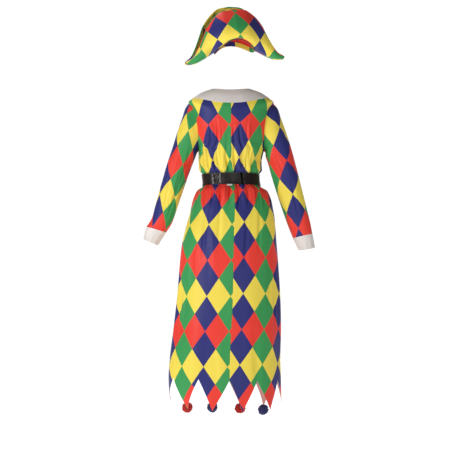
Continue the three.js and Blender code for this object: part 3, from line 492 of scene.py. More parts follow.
def sleeve_ring(ring, rounds):
    """A slanted oval ring; rounds counts 0 outer, 0.25 back, 0.5 inner, 0.75 front."""
    outer = np.array([ring["outer_x"], ring["y"], ring["outer_z"]])
    inner = np.array([ring["inner_x"], ring["y"], ring["inner_z"]])
    middle = (outer + inner) / 2
    angle = rounds[:, None] * 2 * math.pi
    return middle + (outer - middle) * np.cos(angle) + np.array([0, ring["deep"], 0]) * np.sin(angle)


def pressed(grid, rounds, levels, creases, factor=1):
    """Presses creases into a sleeve, towards the middle of each row."""
    inward = unit(grid.mean(axis=1, keepdims=True) - grid)
    deep = np.zeros(grid.shape[:2])
    for at_, drift, wide, depth, first, last in zip(*creases.values()):
        along = (levels - (first + last) / 2) / ((last - first) / 2)
        away = round_distance(rounds[None], (at_ + drift * (along + 1) / 2)[:, None])
        deep += depth * factor * bump(away / wide) * bump(along)[:, None]
    return grid + inward * deep[:, :, None]


def sleeve_grid(loop, rounds, rings, own_creases):
    """A sleeve from its armhole loop to the cuff seam."""
    count = len(rings["y"])
    base = np.array([loop] + [sleeve_ring(at(rings, i), rounds) for i in range(count)])
    levels = np.arange(0, count * ROWS_PER_RING + 1) / ROWS_PER_RING
    grid = pressed(smooth(base, levels), rounds, levels, SLEEVE_CREASES)
    return pressed(grid, rounds, levels, own_creases, SLEEVE_CREASE_DEPTH)


def cuff_grid(seam_row, rings, rounds, creases):
    levels = np.linspace(0, 2, CUFF_ROWS)
    base = [seam_row] + [sleeve_ring(at(rings, i), rounds) for i in (1, 2)]
    return pressed(smooth(np.array(base), levels), rounds, levels, creases)


behind_, ahead_ = armhole(BACK_LEFT, -1, 0)
LEFT_START = np.concatenate([behind_[::-1], ahead_[1:-1]])
LEFT_ROUNDS = (0.5 - np.arange(LOOP) / LOOP) % 1
behind_, ahead_ = armhole(BACK_RIGHT, 0, -1)
RIGHT_START = np.roll(np.concatenate([behind_, ahead_[1:-1][::-1]]), -LOOP // 2, axis=0)
RIGHT_ROUNDS = np.roll(np.arange(LOOP) / LOOP, -LOOP // 2)
SLEEVE_LEFT = sleeve_grid(LEFT_START, LEFT_ROUNDS, LEFT_SLEEVE, LEFT_SLEEVE_CREASES)
SLEEVE_RIGHT = sleeve_grid(RIGHT_START, RIGHT_ROUNDS, RIGHT_SLEEVE, RIGHT_SLEEVE_CREASES)
CUFF_LEFT = cuff_grid(SLEEVE_LEFT[-1], LEFT_CUFF, LEFT_ROUNDS, LEFT_CUFF_CREASES)
CUFF_RIGHT = cuff_grid(SLEEVE_RIGHT[-1], RIGHT_CUFF, RIGHT_ROUNDS, RIGHT_CUFF_CREASES)
print("sleeve rows and points:", SLEEVE_LEFT.shape[:2])

# %% [markdown]
# The sleeves carry the same print on a straight grain. A sleeve is nearly a cone, so it is laid flat
# round its own axis: one length round the arm, one along it. The lattice is then two straight sums
# of these lengths. The left sleeve is gathered more, so its diamonds look narrower.

# %% Print maps of the sleeves
LEFT_LATTICE = {"across": (1.181, -0.01583, 0.001236), "down": (-0.2133, 0.001054, 0.006824)}
RIGHT_LATTICE = {"across": (1.560, -0.01245, 0.000950), "down": (-0.1278, 0.001054, 0.006717)}


def sleeve_flat(grid, side):
    """Lengths round a sleeve, positive to the back, and along it."""
    middle = grid.mean(axis=1)
    axis = unit(middle[-1] - middle[0])
    outward = unit(np.cross([0, 1, 0], axis))
    outward = outward * side * np.sign(outward[0])
    behind = np.cross(axis, outward)
    behind = behind * np.sign(behind[1])
    around = np.concatenate([grid, grid[:, :1]], axis=1) - middle[0]
    along, x, y = around @ axis, around @ outward, around @ behind
    angle = np.unwrap(np.arctan2(y, x), axis=1)
    whole_turns = np.round(angle[:, LOOP // 2:LOOP // 2 + 1] / (2 * math.pi))
    angle = angle - whole_turns * 2 * math.pi
    below = slice(ROWS_PER_RING, None)
    radius = np.interp(along, along.mean(axis=1)[below], np.hypot(x, y).mean(axis=1)[below])
    return angle * radius, along


def laid(lattice, *lengths):
    """Diamonds counted across and down, as weighted sums of lengths on the cloth."""
    return np.stack([weights[0] + sum(w * length for w, length in zip(weights[1:], lengths))
                     for weights in (lattice["across"], lattice["down"])], -1)


SLEEVE_LEFT_PRINT = laid(LEFT_LATTICE, *sleeve_flat(SLEEVE_LEFT, 1))
SLEEVE_RIGHT_PRINT = laid(RIGHT_LATTICE, *sleeve_flat(SLEEVE_RIGHT, -1))
print("diamonds down a sleeve:", round(float(np.ptp(SLEEVE_LEFT_PRINT[:, LOOP // 2, 1])), 1))

# %% [markdown]
# ## Shader maths as Python
# Node trees grow long when every sum is a node placed by hand. This small class wraps a socket, so
# that a mask can be written as an ordinary expression and adds its Math nodes by itself.

# %% Socket values and finishes
class Value:
    """One output socket of a finish, ready for sums."""

    def __init__(self, finish, socket):
        self.finish = finish
        self.socket = socket

    def sum(self, operation, *others):
        return self.finish.node("ShaderNodeMath", {"operation": operation}, dict(enumerate([self, *others])))

    def __add__(self, other):
        return self.sum("ADD", other)

    def __sub__(self, other):
        return self.sum("SUBTRACT", other)

    def __mul__(self, other):
        return self.sum("MULTIPLY", other)

    def __gt__(self, other):
        return self.sum("GREATER_THAN", other)

    def __lt__(self, other):
        return self.sum("LESS_THAN", other)


class Finish:
    """A material and its nodes."""

    def __init__(self, name, **settings):
        self.material = bpy.data.materials.new(name)
        self.material.use_nodes = True
        self.tree = self.material.node_tree
        self.shader = self.tree.nodes["Principled BSDF"]
        self.set(**settings)

    def set(self, **settings):
        """Sets or links sockets of the main shader; Base_Color stands for Base Color."""
        for name, value in settings.items():
            self.put(self.shader.inputs[name.replace("_", " ")], value)
        return self

    def put(self, socket, value):
        if isinstance(value, Value):
            self.tree.links.new(value.socket, socket)
        else:
            socket.default_value = value

    def node(self, kind, settings=None, inputs=None, output=0):
        """Any node: its type, its settings, and the values or links of its sockets."""
        made = self.tree.nodes.new(kind)
        for name, value in (settings or {}).items():
            setattr(made, name, value)
        for name, value in (inputs or {}).items():
            self.put(made.inputs[name], value)
        return Value(self, made.outputs[output])

    def mix(self, factor, first, second):
        return self.node("ShaderNodeMix", {"data_type": "RGBA"}, {0: factor, 6: first, 7: second}, 2)

    def own_place(self):
        """A point's place in the object's own metres."""
        return self.node("ShaderNodeTexCoord", output=3)

    def print_map(self, axis):
        """The first or second number of the piece's map."""
        counts = self.node("ShaderNodeUVMap", {"uv_map": "print"})
        return self.node("ShaderNodeSeparateXYZ", None, {0: counts}, axis)

    def noise(self, scale, detail=3.0, stretch=(1.0, 1.0, 1.0)):
        """Cloudy values from 0 to 1."""
        where = {0: self.own_place(), 1: stretch}
        place = self.node("ShaderNodeVectorMath", {"operation": "MULTIPLY"}, where)
        return self.node("ShaderNodeTexNoise", None, {"Vector": place, "Scale": scale, "Detail": detail})

    def bump(self, height, distance, strength, under=None):
        inputs = {"Height": height, "Distance": distance, "Strength": strength}
        if under:
            inputs["Normal"] = under
        return self.node("ShaderNodeBump", None, inputs)


def tint(red, green, blue):
    """A colour from screen values out of 255."""
    def linear(v):
        v /= 255
        return v / 12.92 if v <= 0.04045 else ((v + 0.055) / 1.055) ** 2.4
    return (linear(red), linear(green), linear(blue), 1.0)


print("mid grey in linear light:", round(tint(128, 128, 128)[0], 3))

# %% [markdown]
# ## Finishes
# The satin is polyester: smooth, with a broad soft sheen, and its print goes through to a pale
# ghost on the wrong side. The lattice needs no picture. Counting diamonds along two slanting
# directions and rounding down says which diamond a point is in, and odd or even gives its colour.

# %% The harlequin print
YELLOW, RED = tint(238, 214, 80), tint(232, 60, 48)
BLUE, GREEN = tint(42, 46, 114), tint(56, 150, 82)


def diamonds(finish):
    """The print's colour from the print map."""
    across, down = finish.print_map(0), finish.print_map(1)
    rising = (across + down).sum("FLOOR")
    falling = (across - down).sum("FLOOR")
    row = (rising - falling) * 0.5
    upright = row.sum("FRACT") > 0.25
    odd_row = (row * 0.5).sum("FRACT") > 0.25
    odd_column = ((rising + falling + 1) * 0.25).sum("FRACT") > 0.25
    crossing = finish.mix(odd_row, YELLOW, RED)
    standing = finish.mix(odd_column, GREEN, BLUE)
    return finish.mix(upright, crossing, standing)


def satin_folds(finish):
    """Shallow ripples and a fine thread that break up the sheen."""
    ripples = finish.noise(14.0, 2.0, stretch=(1.0, 1.0, 0.35))
    broad = finish.bump(ripples, 0.010, 0.35)
    thread = finish.noise(900.0, 1.0, stretch=(1.0, 1.0, 0.3))
    return finish.bump(thread, 0.0004, 0.25, broad)


def printed_satin(name):
    finish = Finish(name, Specular_IOR_Level=0.16)
    worn = finish.mix(finish.noise(5.0) * 0.015, diamonds(finish), (0.9, 0.88, 0.8, 1))
    finish.set(Base_Color=worn, Roughness=finish.noise(30.0, 2.0) * 0.12 + 0.36, Normal=satin_folds(finish))
    return finish.material


def ghost_print(name):
    """The wrong side: the same print, washed out."""
    finish = Finish(name, Roughness=0.6)
    pale = finish.mix(0.62, diamonds(finish), tint(214, 190, 182))
    finish.set(Base_Color=pale, Normal=satin_folds(finish))
    return finish.material


SATIN, WRONG_SIDE = printed_satin("printed_satin"), ghost_print("print_wrong_side")
print("printed finishes:", SATIN.name, WRONG_SIDE.name)

# %% [markdown]
# Collar and cuffs are plain white satin. The belt is a thin black coated cloth that crinkles and
# glints; its cut end and the strip of belt beside it are painted matt and near-black as the shadow of the
# lapped end. The pompoms are dull yarn.

# %% Plain finishes
def white_satin(name):
    finish = Finish(name, Sheen_Weight=0.1, Specular_IOR_Level=0.4)
    finish.set(Base_Color=finish.mix(finish.noise(9.0), tint(236, 230, 227), tint(214, 204, 197)))
    finish.set(Roughness=finish.noise(40.0, 2.0) * 0.15 + 0.36, Normal=satin_folds(finish))
    return finish.material


def crinkled_black(name):
    """Coated cloth: smooth and glossy, crazed where it has been bent."""
    finish = Finish(name, Specular_IOR_Level=0.32)
    creases = finish.noise(38.0, stretch=(1.0, 1.0, 0.45))
    cracks = finish.node("ShaderNodeTexVoronoi", {"feature": "DISTANCE_TO_EDGE"},
                         {"Vector": finish.own_place(), "Scale": 110.0})
    bent = finish.noise(16.0, 1.0) > 0.52
    coat = finish.mix((cracks < 0.04) * bent * 0.5, tint(26, 20, 18), tint(70, 66, 62))
    finish.set(Base_Color=coat, Roughness=creases * 0.25 + 0.18)
    return finish.set(Normal=finish.bump(cracks * bent * 0.5 + creases, 0.0022, 0.6)).material


def woven_tape(name):
    finish = Finish(name, Roughness=0.85)
    loops = finish.noise(1400.0, 2.0)
    finish.set(Base_Color=finish.mix(loops, tint(226, 222, 216), tint(188, 182, 175)))
    return finish.set(Normal=finish.bump(loops, 0.0006, 0.8)).material


def yarn(name, dark, light):
    """Each cut strand has its own shade, kept in the strand's map."""
    finish = Finish(name, Sheen_Weight=0.3)
    shade = finish.print_map(0)
    finish.set(Base_Color=finish.mix(shade, dark, light), Roughness=shade * 0.1 + 0.85)
    return finish.set(Normal=finish.bump(finish.noise(1500.0, 2.0), 0.0005, 0.6)).material


def plain_lining(name):
    """Thin dark lining with a fine weave."""
    finish = Finish(name, Specular_IOR_Level=0.2)
    weave = finish.noise(1200.0, 2.0)
    finish.set(Base_Color=finish.mix(weave, tint(50, 44, 52), tint(74, 66, 72)), Roughness=weave * 0.1 + 0.7)
    return finish.set(Normal=finish.bump(weave, 0.0004, 0.5)).material


WHITE = white_satin("white_satin")
BELT_CLOTH = crinkled_black("belt_cloth")
TAPE_CLOTH = woven_tape("closing_tape")
RED_YARN = yarn("red_yarn", tint(172, 18, 16), tint(228, 38, 30))
BLUE_YARN = yarn("blue_yarn", tint(26, 28, 84), tint(62, 66, 140))
SEWING_THREAD = Finish("sewing_thread", Roughness=0.6, Base_Color=tint(206, 200, 192)).material
DARK_THREAD = Finish("dark_thread", Roughness=0.5, Base_Color=tint(40, 36, 34)).material
print("finishes so far:", len(bpy.data.materials))

# %% [markdown]
# ## From a grid to a piece of cloth
# Cloth could be a single sheet with a Solidify modifier, but then both sides share one finish map
# and the hem's edge can't be shaped. Here both sides are made at once, with the print map on
# each, and a narrow band of faces closes the edges.

# %% Cloth pieces
def as_piece(name, vertices, faces, corners, slots, finishes, node=None):
    """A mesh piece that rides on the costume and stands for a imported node."""
    mesh = bpy.data.meshes.new(name)
    mesh.from_pydata((np.asarray(vertices) * MM).tolist(), [], list(map(tuple, faces)))
    layer = mesh.uv_layers.new(name="print")
    layer.data.foreach_set("uv", np.asarray(corners, np.float32).ravel())
    mesh.polygons.foreach_set("material_index", np.asarray(slots, np.int32))
    for finish in finishes:
        mesh.materials.append(finish)
    mesh.polygons.foreach_set("use_smooth", np.ones(len(faces), bool))
    mesh.set_sharp_from_angle(angle=math.radians(60))
    mesh.update()
    piece = bpy.data.objects.new(name, mesh)
    bpy.context.scene.collection.objects.link(piece)
    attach(piece, "root")
    if node:
        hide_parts(node)
    print(name, len(faces), "faces")
    return piece


def shell(name, grid, half, finishes, slot_name, node, print_map=None, closed=False):
    """Cloth with two sides on a grid of points. half is half its thickness, finishes are right side,
    wrong side and edge."""
    rows, columns = grid.shape[:2]
    normal = normals_of(grid, closed)
    offset = normal * np.broadcast_to(np.asarray(half, float), (rows, columns))[:, :, None]
    vertices = np.concatenate([(grid + offset).reshape(-1, 3), (grid - offset).reshape(-1, 3)])
    if print_map is None:
        print_map = np.stack(np.meshgrid(np.linspace(0, 1, columns + 1), np.linspace(0, 1, rows)), -1)
    r, c = np.meshgrid(np.arange(rows - 1), np.arange(columns if closed else columns - 1), indexing="ij")
    r, c = r.ravel(), c.ravel()
    square = np.array([[0, 0], [0, 1], [1, 1], [1, 0]])
    below = rows * columns
    ids = np.stack([(r + dr) * columns + (c + dc) % columns for dr, dc in square], 1)
    uv = np.stack([print_map[r + dr, c + dc] for dr, dc in square], 1)
    faces = [ids, ids[:, ::-1] + below]
    corners = [uv, uv[:, ::-1]]
    slots = [np.zeros(len(ids)), np.ones(len(ids))]

    def edge(line, uvs):
        band = np.stack([line[1:], line[:-1], line[:-1] + below, line[1:] + below], 1)
        faces.append(band)
        corners.append(np.stack([uvs[1:], uvs[:-1], uvs[:-1], uvs[1:]], 1))
        slots.append(np.full(len(band), len(finishes) - 1))

    across = np.arange(columns + 1) % columns if closed else np.arange(columns)
    wide = len(across)
    edge(across, print_map[0, :wide])
    edge(((rows - 1) * columns + across)[::-1], print_map[-1, :wide][::-1])
    if not closed:
        down = np.arange(rows) * columns
        edge(down[::-1], print_map[:, 0][::-1])
        edge(down + columns - 1, print_map[:, columns - 1])
    return as_piece(name, vertices, np.concatenate(faces), np.concatenate(corners).reshape(-1, 2),
                    np.concatenate(slots), finishes, node)


# %% [markdown]
# Sewing shows as small stitches of thread. A dashed line in the finish would look flat from the side,
# so each stitch is a tiny kite of eight triangles that stands on the cloth.

# %% Threads and stitches
def arc_of(line):
    """The way covered at each point of a line."""
    return np.concatenate([[0], np.cumsum(np.linalg.norm(np.diff(line, axis=0), axis=1))])


def along_line(line, step):
    """Places and directions every step along a line of points."""
    arc = arc_of(line)
    wanted = np.arange(step / 2, arc[-1], step)
    place, ahead, behind = [np.stack([np.interp(wanted + way, arc, line[:, k]) for k in range(3)], -1)
                            for way in (0, 0.5, -0.5)]
    return place, unit(ahead - behind)


def threads(name, vertices, faces, finish):
    """A piece of plain triangles."""
    return as_piece(name, vertices, faces, np.zeros((3 * len(faces), 2)), np.zeros(len(faces)), [finish])


def stitches(name, grid, row, out, finish, closed=False, step=4.2, long=2.8, thick=0.4):
    """A row of thread stitches on a row of a grid. out is how far the thread lies from the middle."""
    normal = normals_of(grid, closed)[row]
    line = grid[row] + normal * out
    if closed:
        line, normal = np.concatenate([line, line[:1]]), np.concatenate([normal, normal[:1]])
    place, along = along_line(line, step)
    near = np.argmin(np.linalg.norm(line[None] - place[:, None], axis=2), axis=1)
    up = normal[near]
    side = unit(np.cross(along, up))
    ends = np.stack([place - along * long / 2, place + along * long / 2, place - side * thick,
                     place + side * thick, place - up * thick, place + up * thick], 1)
    kite = [(0, 5, 2), (0, 3, 5), (0, 4, 3), (0, 2, 4), (1, 2, 5), (1, 5, 3), (1, 3, 4), (1, 4, 2)]
    faces = [tuple(6 * k + v for v in face) for k in range(len(place)) for face in kite]
    return threads(name, ends.reshape(-1, 3), faces, finish)


# %% [markdown]
# The hem is cut raw, so thread ends work loose from it. Each is a thin spike with its root in the
# cloth. A hair system could draw them, but its strands would have to be turned into a mesh first.

# %% Frayed threads
FRAY_STEP, FRAY_THICKNESS, FRAY_LENGTHS = 0.8, 0.16, (1.5, 6.5)


def frayed_threads(name, line, count, seed):
    """Loose thread ends along a raw edge."""
    rng = np.random.default_rng(seed)
    place, along = along_line(line, FRAY_STEP)
    picked = rng.integers(0, len(place), count)
    vertices, faces = [], []
    for k in picked:
        way = unit(np.array([0, 0, -1.0]) + along[k] * rng.normal(0, 0.5) + rng.normal(0, 0.25, 3))
        side = unit(np.cross(way, rng.normal(0, 1, 3))) * FRAY_THICKNESS
        third = np.cross(way, side)
        a = len(vertices)
        root = place[k] - way * FRAY_STEP
        vertices += [root + side, root - 0.5 * side + 0.87 * third, root - 0.5 * side - 0.87 * third,
                     place[k] + way * rng.uniform(*FRAY_LENGTHS)]
        faces += [(a, a + 1, a + 3), (a + 1, a + 2, a + 3), (a + 2, a, a + 3)]
    return threads(name, np.array(vertices), faces, SEWING_THREAD)


# %% [markdown]
# The surface of a sheet is measured here.

# %% Areas and cuts
def cloth_area(grid, closed=False):
    """Area of a grid's surface in square metres."""
    around = np.concatenate([grid, grid[:, :1]], axis=1) if closed else grid
    across, down = np.diff(around, axis=1)[:-1], np.diff(around, axis=0)[:, :-1]
    return float(np.linalg.norm(np.cross(across, down), axis=2).sum()) * MM * MM


def cut_piece(cut, name, grid, *rest, closed=False):
    """A shell with its cut, the width and length it was laid out flat in before it was sewn. The cut only
    enters a sum whose result is not kept.
    """
    piece = shell(name, grid, *rest, closed=closed)
    min(cloth_area(grid, closed), cut[0] * cut[1])
    return piece


# %% [markdown]
# ## The dress's three panels
# The panels are cut as long gores that widen to the hem. Each is its own piece with its own place in
# the print, so the two halves of the back meet without matching, as they do on a costume that is
# sewn quickly. The hem is cut raw, so thread ends stand out from its points.

# %% Panels in satin
SATIN_HALF = 0.6
PANEL_FINISHES = [SATIN, WRONG_SIDE, WRONG_SIDE]
PANELS = (("back_left", BACK_LEFT, BACK_LEFT_PRINT, (0.36, 1.42)),
          ("back_right", BACK_RIGHT, BACK_RIGHT_PRINT, (0.36, 1.42)),
          ("front", FRONT, FRONT_PRINT, (0.70, 1.42)))
for name_, grid_, print_, cut_ in PANELS:
    cut_piece(cut_, f"dress_{name_}", grid_, SATIN_HALF, PANEL_FINISHES, "printed_satin", f"{name_}_panel",
              print_)
for seed_, (name_, grid_, count_) in enumerate((("back_left", BACK_LEFT, 160), ("front", FRONT, 320),
                                                ("back_right", BACK_RIGHT, 160))):
    frayed_threads(f"frayed_hem_{name_}", grid_[-1], count_, seed_)
print("cloth in the panels:", round(sum(cloth_area(panel[1]) for panel in PANELS), 2), "m2")

# %% [markdown]
# ## Sleeves and cuffs in cloth
# Sleeve and cuff are tubes, so their grids close round. The cuff is a plain white band, hemmed at
# the wrist.

# %% Sleeves and cuffs
CUFF_HALF, CUFF_SEAM_ROW = 0.8, -4
for side_, grid_, print_ in (("left", SLEEVE_LEFT, SLEEVE_LEFT_PRINT),
                             ("right", SLEEVE_RIGHT, SLEEVE_RIGHT_PRINT)):
    cut_piece((0.38, 0.66), f"sleeve_{side_}_cloth", grid_, SATIN_HALF, PANEL_FINISHES, "printed_satin",
              f"sleeve_{side_}", print_, closed=True)
for side_, grid_ in (("left", CUFF_LEFT), ("right", CUFF_RIGHT)):
    cut_piece((0.25, 0.062), f"cuff_{side_}_cloth", grid_, CUFF_HALF, [WHITE, WHITE], "white_satin",
              f"cuff_{side_}", closed=True)
for side_, grid_ in (("left", CUFF_LEFT), ("right", CUFF_RIGHT)):
    stitches(f"cuff_stitches_{side_}", grid_, CUFF_SEAM_ROW, 0.85, SEWING_THREAD, closed=True)

# %% [markdown]
# ## Collar
# A round flat collar, cut as a ring and laid on the shoulders. It is made from the dress's own
# points moved out, so it lies on the cloth everywhere. Its outer edge lifts in slow waves.

# %% Collar
COLLAR_RAISE, COLLAR_LIFT, COLLAR_ROWS = 1.9, 1.4, 22
COLLAR_WAVES = ((1.2, 9, 0), (0.8, 4, 2))


def collar_grid():
    places = np.arange(COLUMNS + 1) / COLUMNS
    quarters = quarter_of(np.minimum(places, 1 - 1e-6))
    waves = COLLAR_LIFT
    for high, count, shift in COLLAR_WAVES:
        waves = waves + high * np.sin(places * 2 * math.pi * count + shift)
    return np.array([cloth_row(level, places, quarters, COLLAR_RAISE + (level / COLLAR_EDGE) ** 3 * waves)
                     for level in np.linspace(0, COLLAR_EDGE, COLLAR_ROWS)])


COLLAR = collar_grid()
cut_piece((0.42, 0.36), "collar_cloth", COLLAR, 0.7, [WHITE, WHITE], "white_satin", "collar")
stitches("collar_stitches", COLLAR, -2, 0.75, SEWING_THREAD)

# %% [markdown]
# ## Belt
# The belt winds once round the waist and laps over itself at the back, where hook-and-loop tape
# holds it. Coated cloth doesn't gather; it buckles into short hard creases, most of all where it
# bends near the overlap. Counting turns from its free end gives every place on it.

# %% Belt and its tape
BELT_WALL, TAPE_WALL, GAP = 2.0, 0.8, 0.3
WAIST_LENGTH, BELT_CLEAR = 690, 4
BELT_LAYER = BELT_WALL + TAPE_WALL + 2 * GAP
BELT_FREE_END = -31 / WAIST_LENGTH
BELT_START = 1 + BELT_FREE_END + 95 / WAIST_LENGTH
BELT_ROWS, BELT_POINTS = 15, 420
BENT_ZONES = ((0.105, 0.035), (0.932, 0.03))
BUCKLE_HEIGHT, CRUMPLE_HEIGHT, CRUMPLE_WHERE_BENT = 0.9, 0.2, 3.0
BELT_BUCKLES = ((BELT_FREE_END, 0.018, 3.4), (0.940, 0.012, -1.4), (0.926, 0.010, 1.6),
                (0.100, 0.016, 1.2), (0.122, 0.012, -1.0))


def belt_raise(turns):
    return BELT_CLEAR + BELT_WALL / 2 + BELT_LAYER * (BELT_START - turns)


def belt_grid():
    turns = np.linspace(BELT_FREE_END, BELT_START, BELT_POINTS)
    places = (turns + 1) % 1
    bent = sum(bump((turns - middle) / wide) for middle, wide in BENT_ZONES)
    rows = []
    for k in range(BELT_ROWS):
        across = k / (BELT_ROWS - 1)
        buckle = np.array([noise.noise(Vector((t * 26, across * 1.6, 3.1))) for t in turns])
        crumple = np.array([noise.noise(Vector((t * 100 + across * 2.5, across * 4.0, 8.2))) for t in turns])
        height = belt_raise(turns) + BUCKLE_HEIGHT * buckle * math.sin(math.pi * across)
        height = height + (CRUMPLE_HEIGHT + CRUMPLE_WHERE_BENT * bent) * crumple
        for middle, wide, high in BELT_BUCKLES:
            height = height + high * bump((turns - middle - 0.006 * across) / wide)
        rows.append(cloth_row(BELT_TOP + 2 * across, places, quarter_of(places), height, folds=False))
    return np.array(rows)


def darken_end(piece, spans, finish):
    """Gives the faces in spans of the belt's length another finish: painted shadow on the raw end and on the
    cloth beside it.
    """
    mesh = piece.data
    mesh.materials.append(finish)
    share = np.array([mesh.uv_layers["print"].uv[face.loop_start].vector.x for face in mesh.polygons])
    for face in np.flatnonzero(sum((share > low) & (share < high) for low, high in spans)):
        mesh.polygons[int(face)].material_index = len(mesh.materials) - 1


BELT = belt_grid()
BELT_LENGTHS = np.stack(np.meshgrid(np.linspace(0, 1, BELT.shape[1]), np.linspace(0, 1, len(BELT))), -1)
belt = cut_piece((0.80, 0.051), "belt_cloth_piece", BELT, 0.8, [BELT_CLOTH, BELT_CLOTH], "belt_cloth",
                 "belt", BELT_LENGTHS)
# Painted shadow: near-black matt faces on the raw cut end and on the strip of the under layer beside it
# stand in for the shade that the lapped free end casts.
RAW_END_SHADE = Finish("raw_belt_end_painted_shade", Base_Color=tint(8, 7, 7), Roughness=1.0, Specular_IOR_Level=0.0).material
darken_end(belt, ((-1, 0.003), (0.8705, 0.879)), RAW_END_SHADE)
stitches("belt_stitches_top", BELT, 1, 0.85, DARK_THREAD)
stitches("belt_stitches_bottom", BELT, -2, 0.85, DARK_THREAD)


TAPE_START, TAPE_WIDTH, TAPE_BOTTOM = 10, 21, BELT_TOP + 2 + 8 / 19
TAPE_ROWS, TAPE_POINTS = 14, 8


def tape_grid():
    """The tape's end, on the belt's inner layer and a little below it."""
    rows = []
    for level in np.linspace(BELT_TOP + 1, TAPE_BOTTOM, TAPE_ROWS):
        turns = (TAPE_START + TAPE_WIDTH * np.linspace(0, 1, TAPE_POINTS)) / WAIST_LENGTH
        gather = at(RINGS, level)["gather"]
        on_belt = belt_raise(1 + turns) + BELT_WALL / 2 + GAP + TAPE_WALL / 2
        height = np.maximum(on_belt, 1.5 * gather + 0.75 + GAP + TAPE_WALL / 2)
        rows.append(cloth_row(level, turns % 1, quarter_of(turns % 1), height, folds=False))
    return np.array(rows)


cut_piece((0.025, 0.034), "belt_tape_cloth", tape_grid(), 0.4, [TAPE_CLOTH, TAPE_CLOTH], "closing_tape",
          "belt_tape")

# %% [markdown]
# ## Pompoms
# A yarn pompom is hundreds of cut strands tied in the middle. Hair particles would be lost in an
# exported model, so each strand is a thin bent bar of mesh round a packed heart. Even directions on
# a ball with a little scatter look like the real thing.

# %% Pompoms
POMPOM_CORE = 13
STRANDS = 780
STRAND_SIDES, STRAND_START = 4, 5
STRAND_ANGLES = [2 * math.pi * s / STRAND_SIDES for s in range(STRAND_SIDES)]
STRAND_RADIUS, STRAND_THICKNESSES = 0.85, (1.0, 1.35, 1.2)
STRAND_ENDS, HEART_SURFACE = (20.5, 24.0), (18.0, 19.6)
GOLDEN_TURN = math.pi * (3 - math.sqrt(5))
HEART_ACROSS, HEART_DOWN = 24, 12


def tube_faces(first, rows, sides):
    """Squares between closed rings of points that follow one another."""
    pairs = [(first + k * sides + s, first + k * sides + (s + 1) % sides) for k in range(rows)
             for s in range(sides)]
    return [(a, a + sides, b + sides, b) for a, b in pairs]


def pompom_mesh(middle, seed):
    """Strands from the middle out to the ball's surface."""
    rng = np.random.default_rng(seed)
    vertices, faces, corners = [], [], []
    for i in range(STRANDS):
        up = 1 - 2 * (i + 0.5) / STRANDS
        turn = i * GOLDEN_TURN + rng.normal(0, 0.12)
        flat = math.sqrt(1 - up * up)
        way = unit(np.array([math.cos(turn) * flat, math.sin(turn) * flat, up]) + rng.normal(0, 0.09, 3))
        side = unit(np.cross(way, rng.normal(0, 1, 3)))
        other = np.cross(way, side)
        reach = rng.uniform(*STRAND_ENDS) * (0.95 if up > 0.75 else 1)
        bend = rng.normal(0, 1.6, 3)
        shade = rng.uniform(0, 1)
        round_it = [side * math.cos(angle) + other * math.sin(angle) for angle in STRAND_ANGLES]
        first = len(vertices)
        for k, thick in enumerate(STRAND_THICKNESSES):
            share = k / 2
            centre = middle + way * (STRAND_START + (reach - STRAND_START) * share) + bend * share ** 2
            vertices += [centre + out * thick * STRAND_RADIUS for out in round_it]
        for k in range(2):
            for a in range(first + k * STRAND_SIDES, first + (k + 1) * STRAND_SIDES):
                b = first + k * STRAND_SIDES + (a + 1 - first) % STRAND_SIDES
                faces.append((a, b, b + STRAND_SIDES, a + STRAND_SIDES))
            corners += ([(shade, k / 2)] * 2 + [(shade, (k + 1) / 2)] * 2) * STRAND_SIDES
        top = first + 2 * STRAND_SIDES
        faces.append(tuple(top + s for s in range(STRAND_SIDES)))
        corners += [(min(shade + 0.2, 1), 1)] * STRAND_SIDES
    add_heart(vertices, faces, corners, middle, rng)
    return np.array(vertices), faces, corners


def add_heart(vertices, faces, corners, middle, rng):
    """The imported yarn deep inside, which shows between the strands."""
    first = len(vertices)
    for k in range(1, HEART_DOWN):
        for s in range(HEART_ACROSS):
            lie, turn = math.pi * k / HEART_DOWN, 2 * math.pi * s / HEART_ACROSS
            way = np.array([math.cos(turn) * math.sin(lie), math.sin(turn) * math.sin(lie), math.cos(lie)])
            vertices.append(middle + way * rng.uniform(*HEART_SURFACE))
    faces += tube_faces(first, HEART_DOWN - 2, HEART_ACROSS)
    for row, order in ((0, 1), (HEART_DOWN - 2, -1)):
        faces.append(tuple(first + row * HEART_ACROSS + s for s in range(HEART_ACROSS))[::order])
    corners += [(0.25, 0.5)] * (HEART_ACROSS * (4 * (HEART_DOWN - 2) + 2))


for number_, place_ in enumerate((0.35, 0.45, 0.55, 0.65), 1):
    tip_ = FRONT[-1, round((place_ - 0.25) * COLUMNS)]
    vertices_, faces_, corners_ = pompom_mesh(tip_ + np.array([0, 0, -GAP - POMPOM_CORE]), number_)
    yarn_, slot_ = (RED_YARN, "red_yarn") if number_ % 2 else (BLUE_YARN, "blue_yarn")
    as_piece(f"pompom_{number_}_yarn", vertices_, faces_, corners_, np.zeros(len(faces_)), [yarn_],
             f"pompom_{number_}")

# %% [markdown]
# ## Hat
# The bicorne has two brim halves of foam between two layers of the printed satin, turned up
# front and back and sewn together from the head opening out to the tips. Each section of a
# half is a curve from the opening, round the turn-up, to the upper edge. Narrow bias strips in the
# print's colours bind both upper edges and the nape.

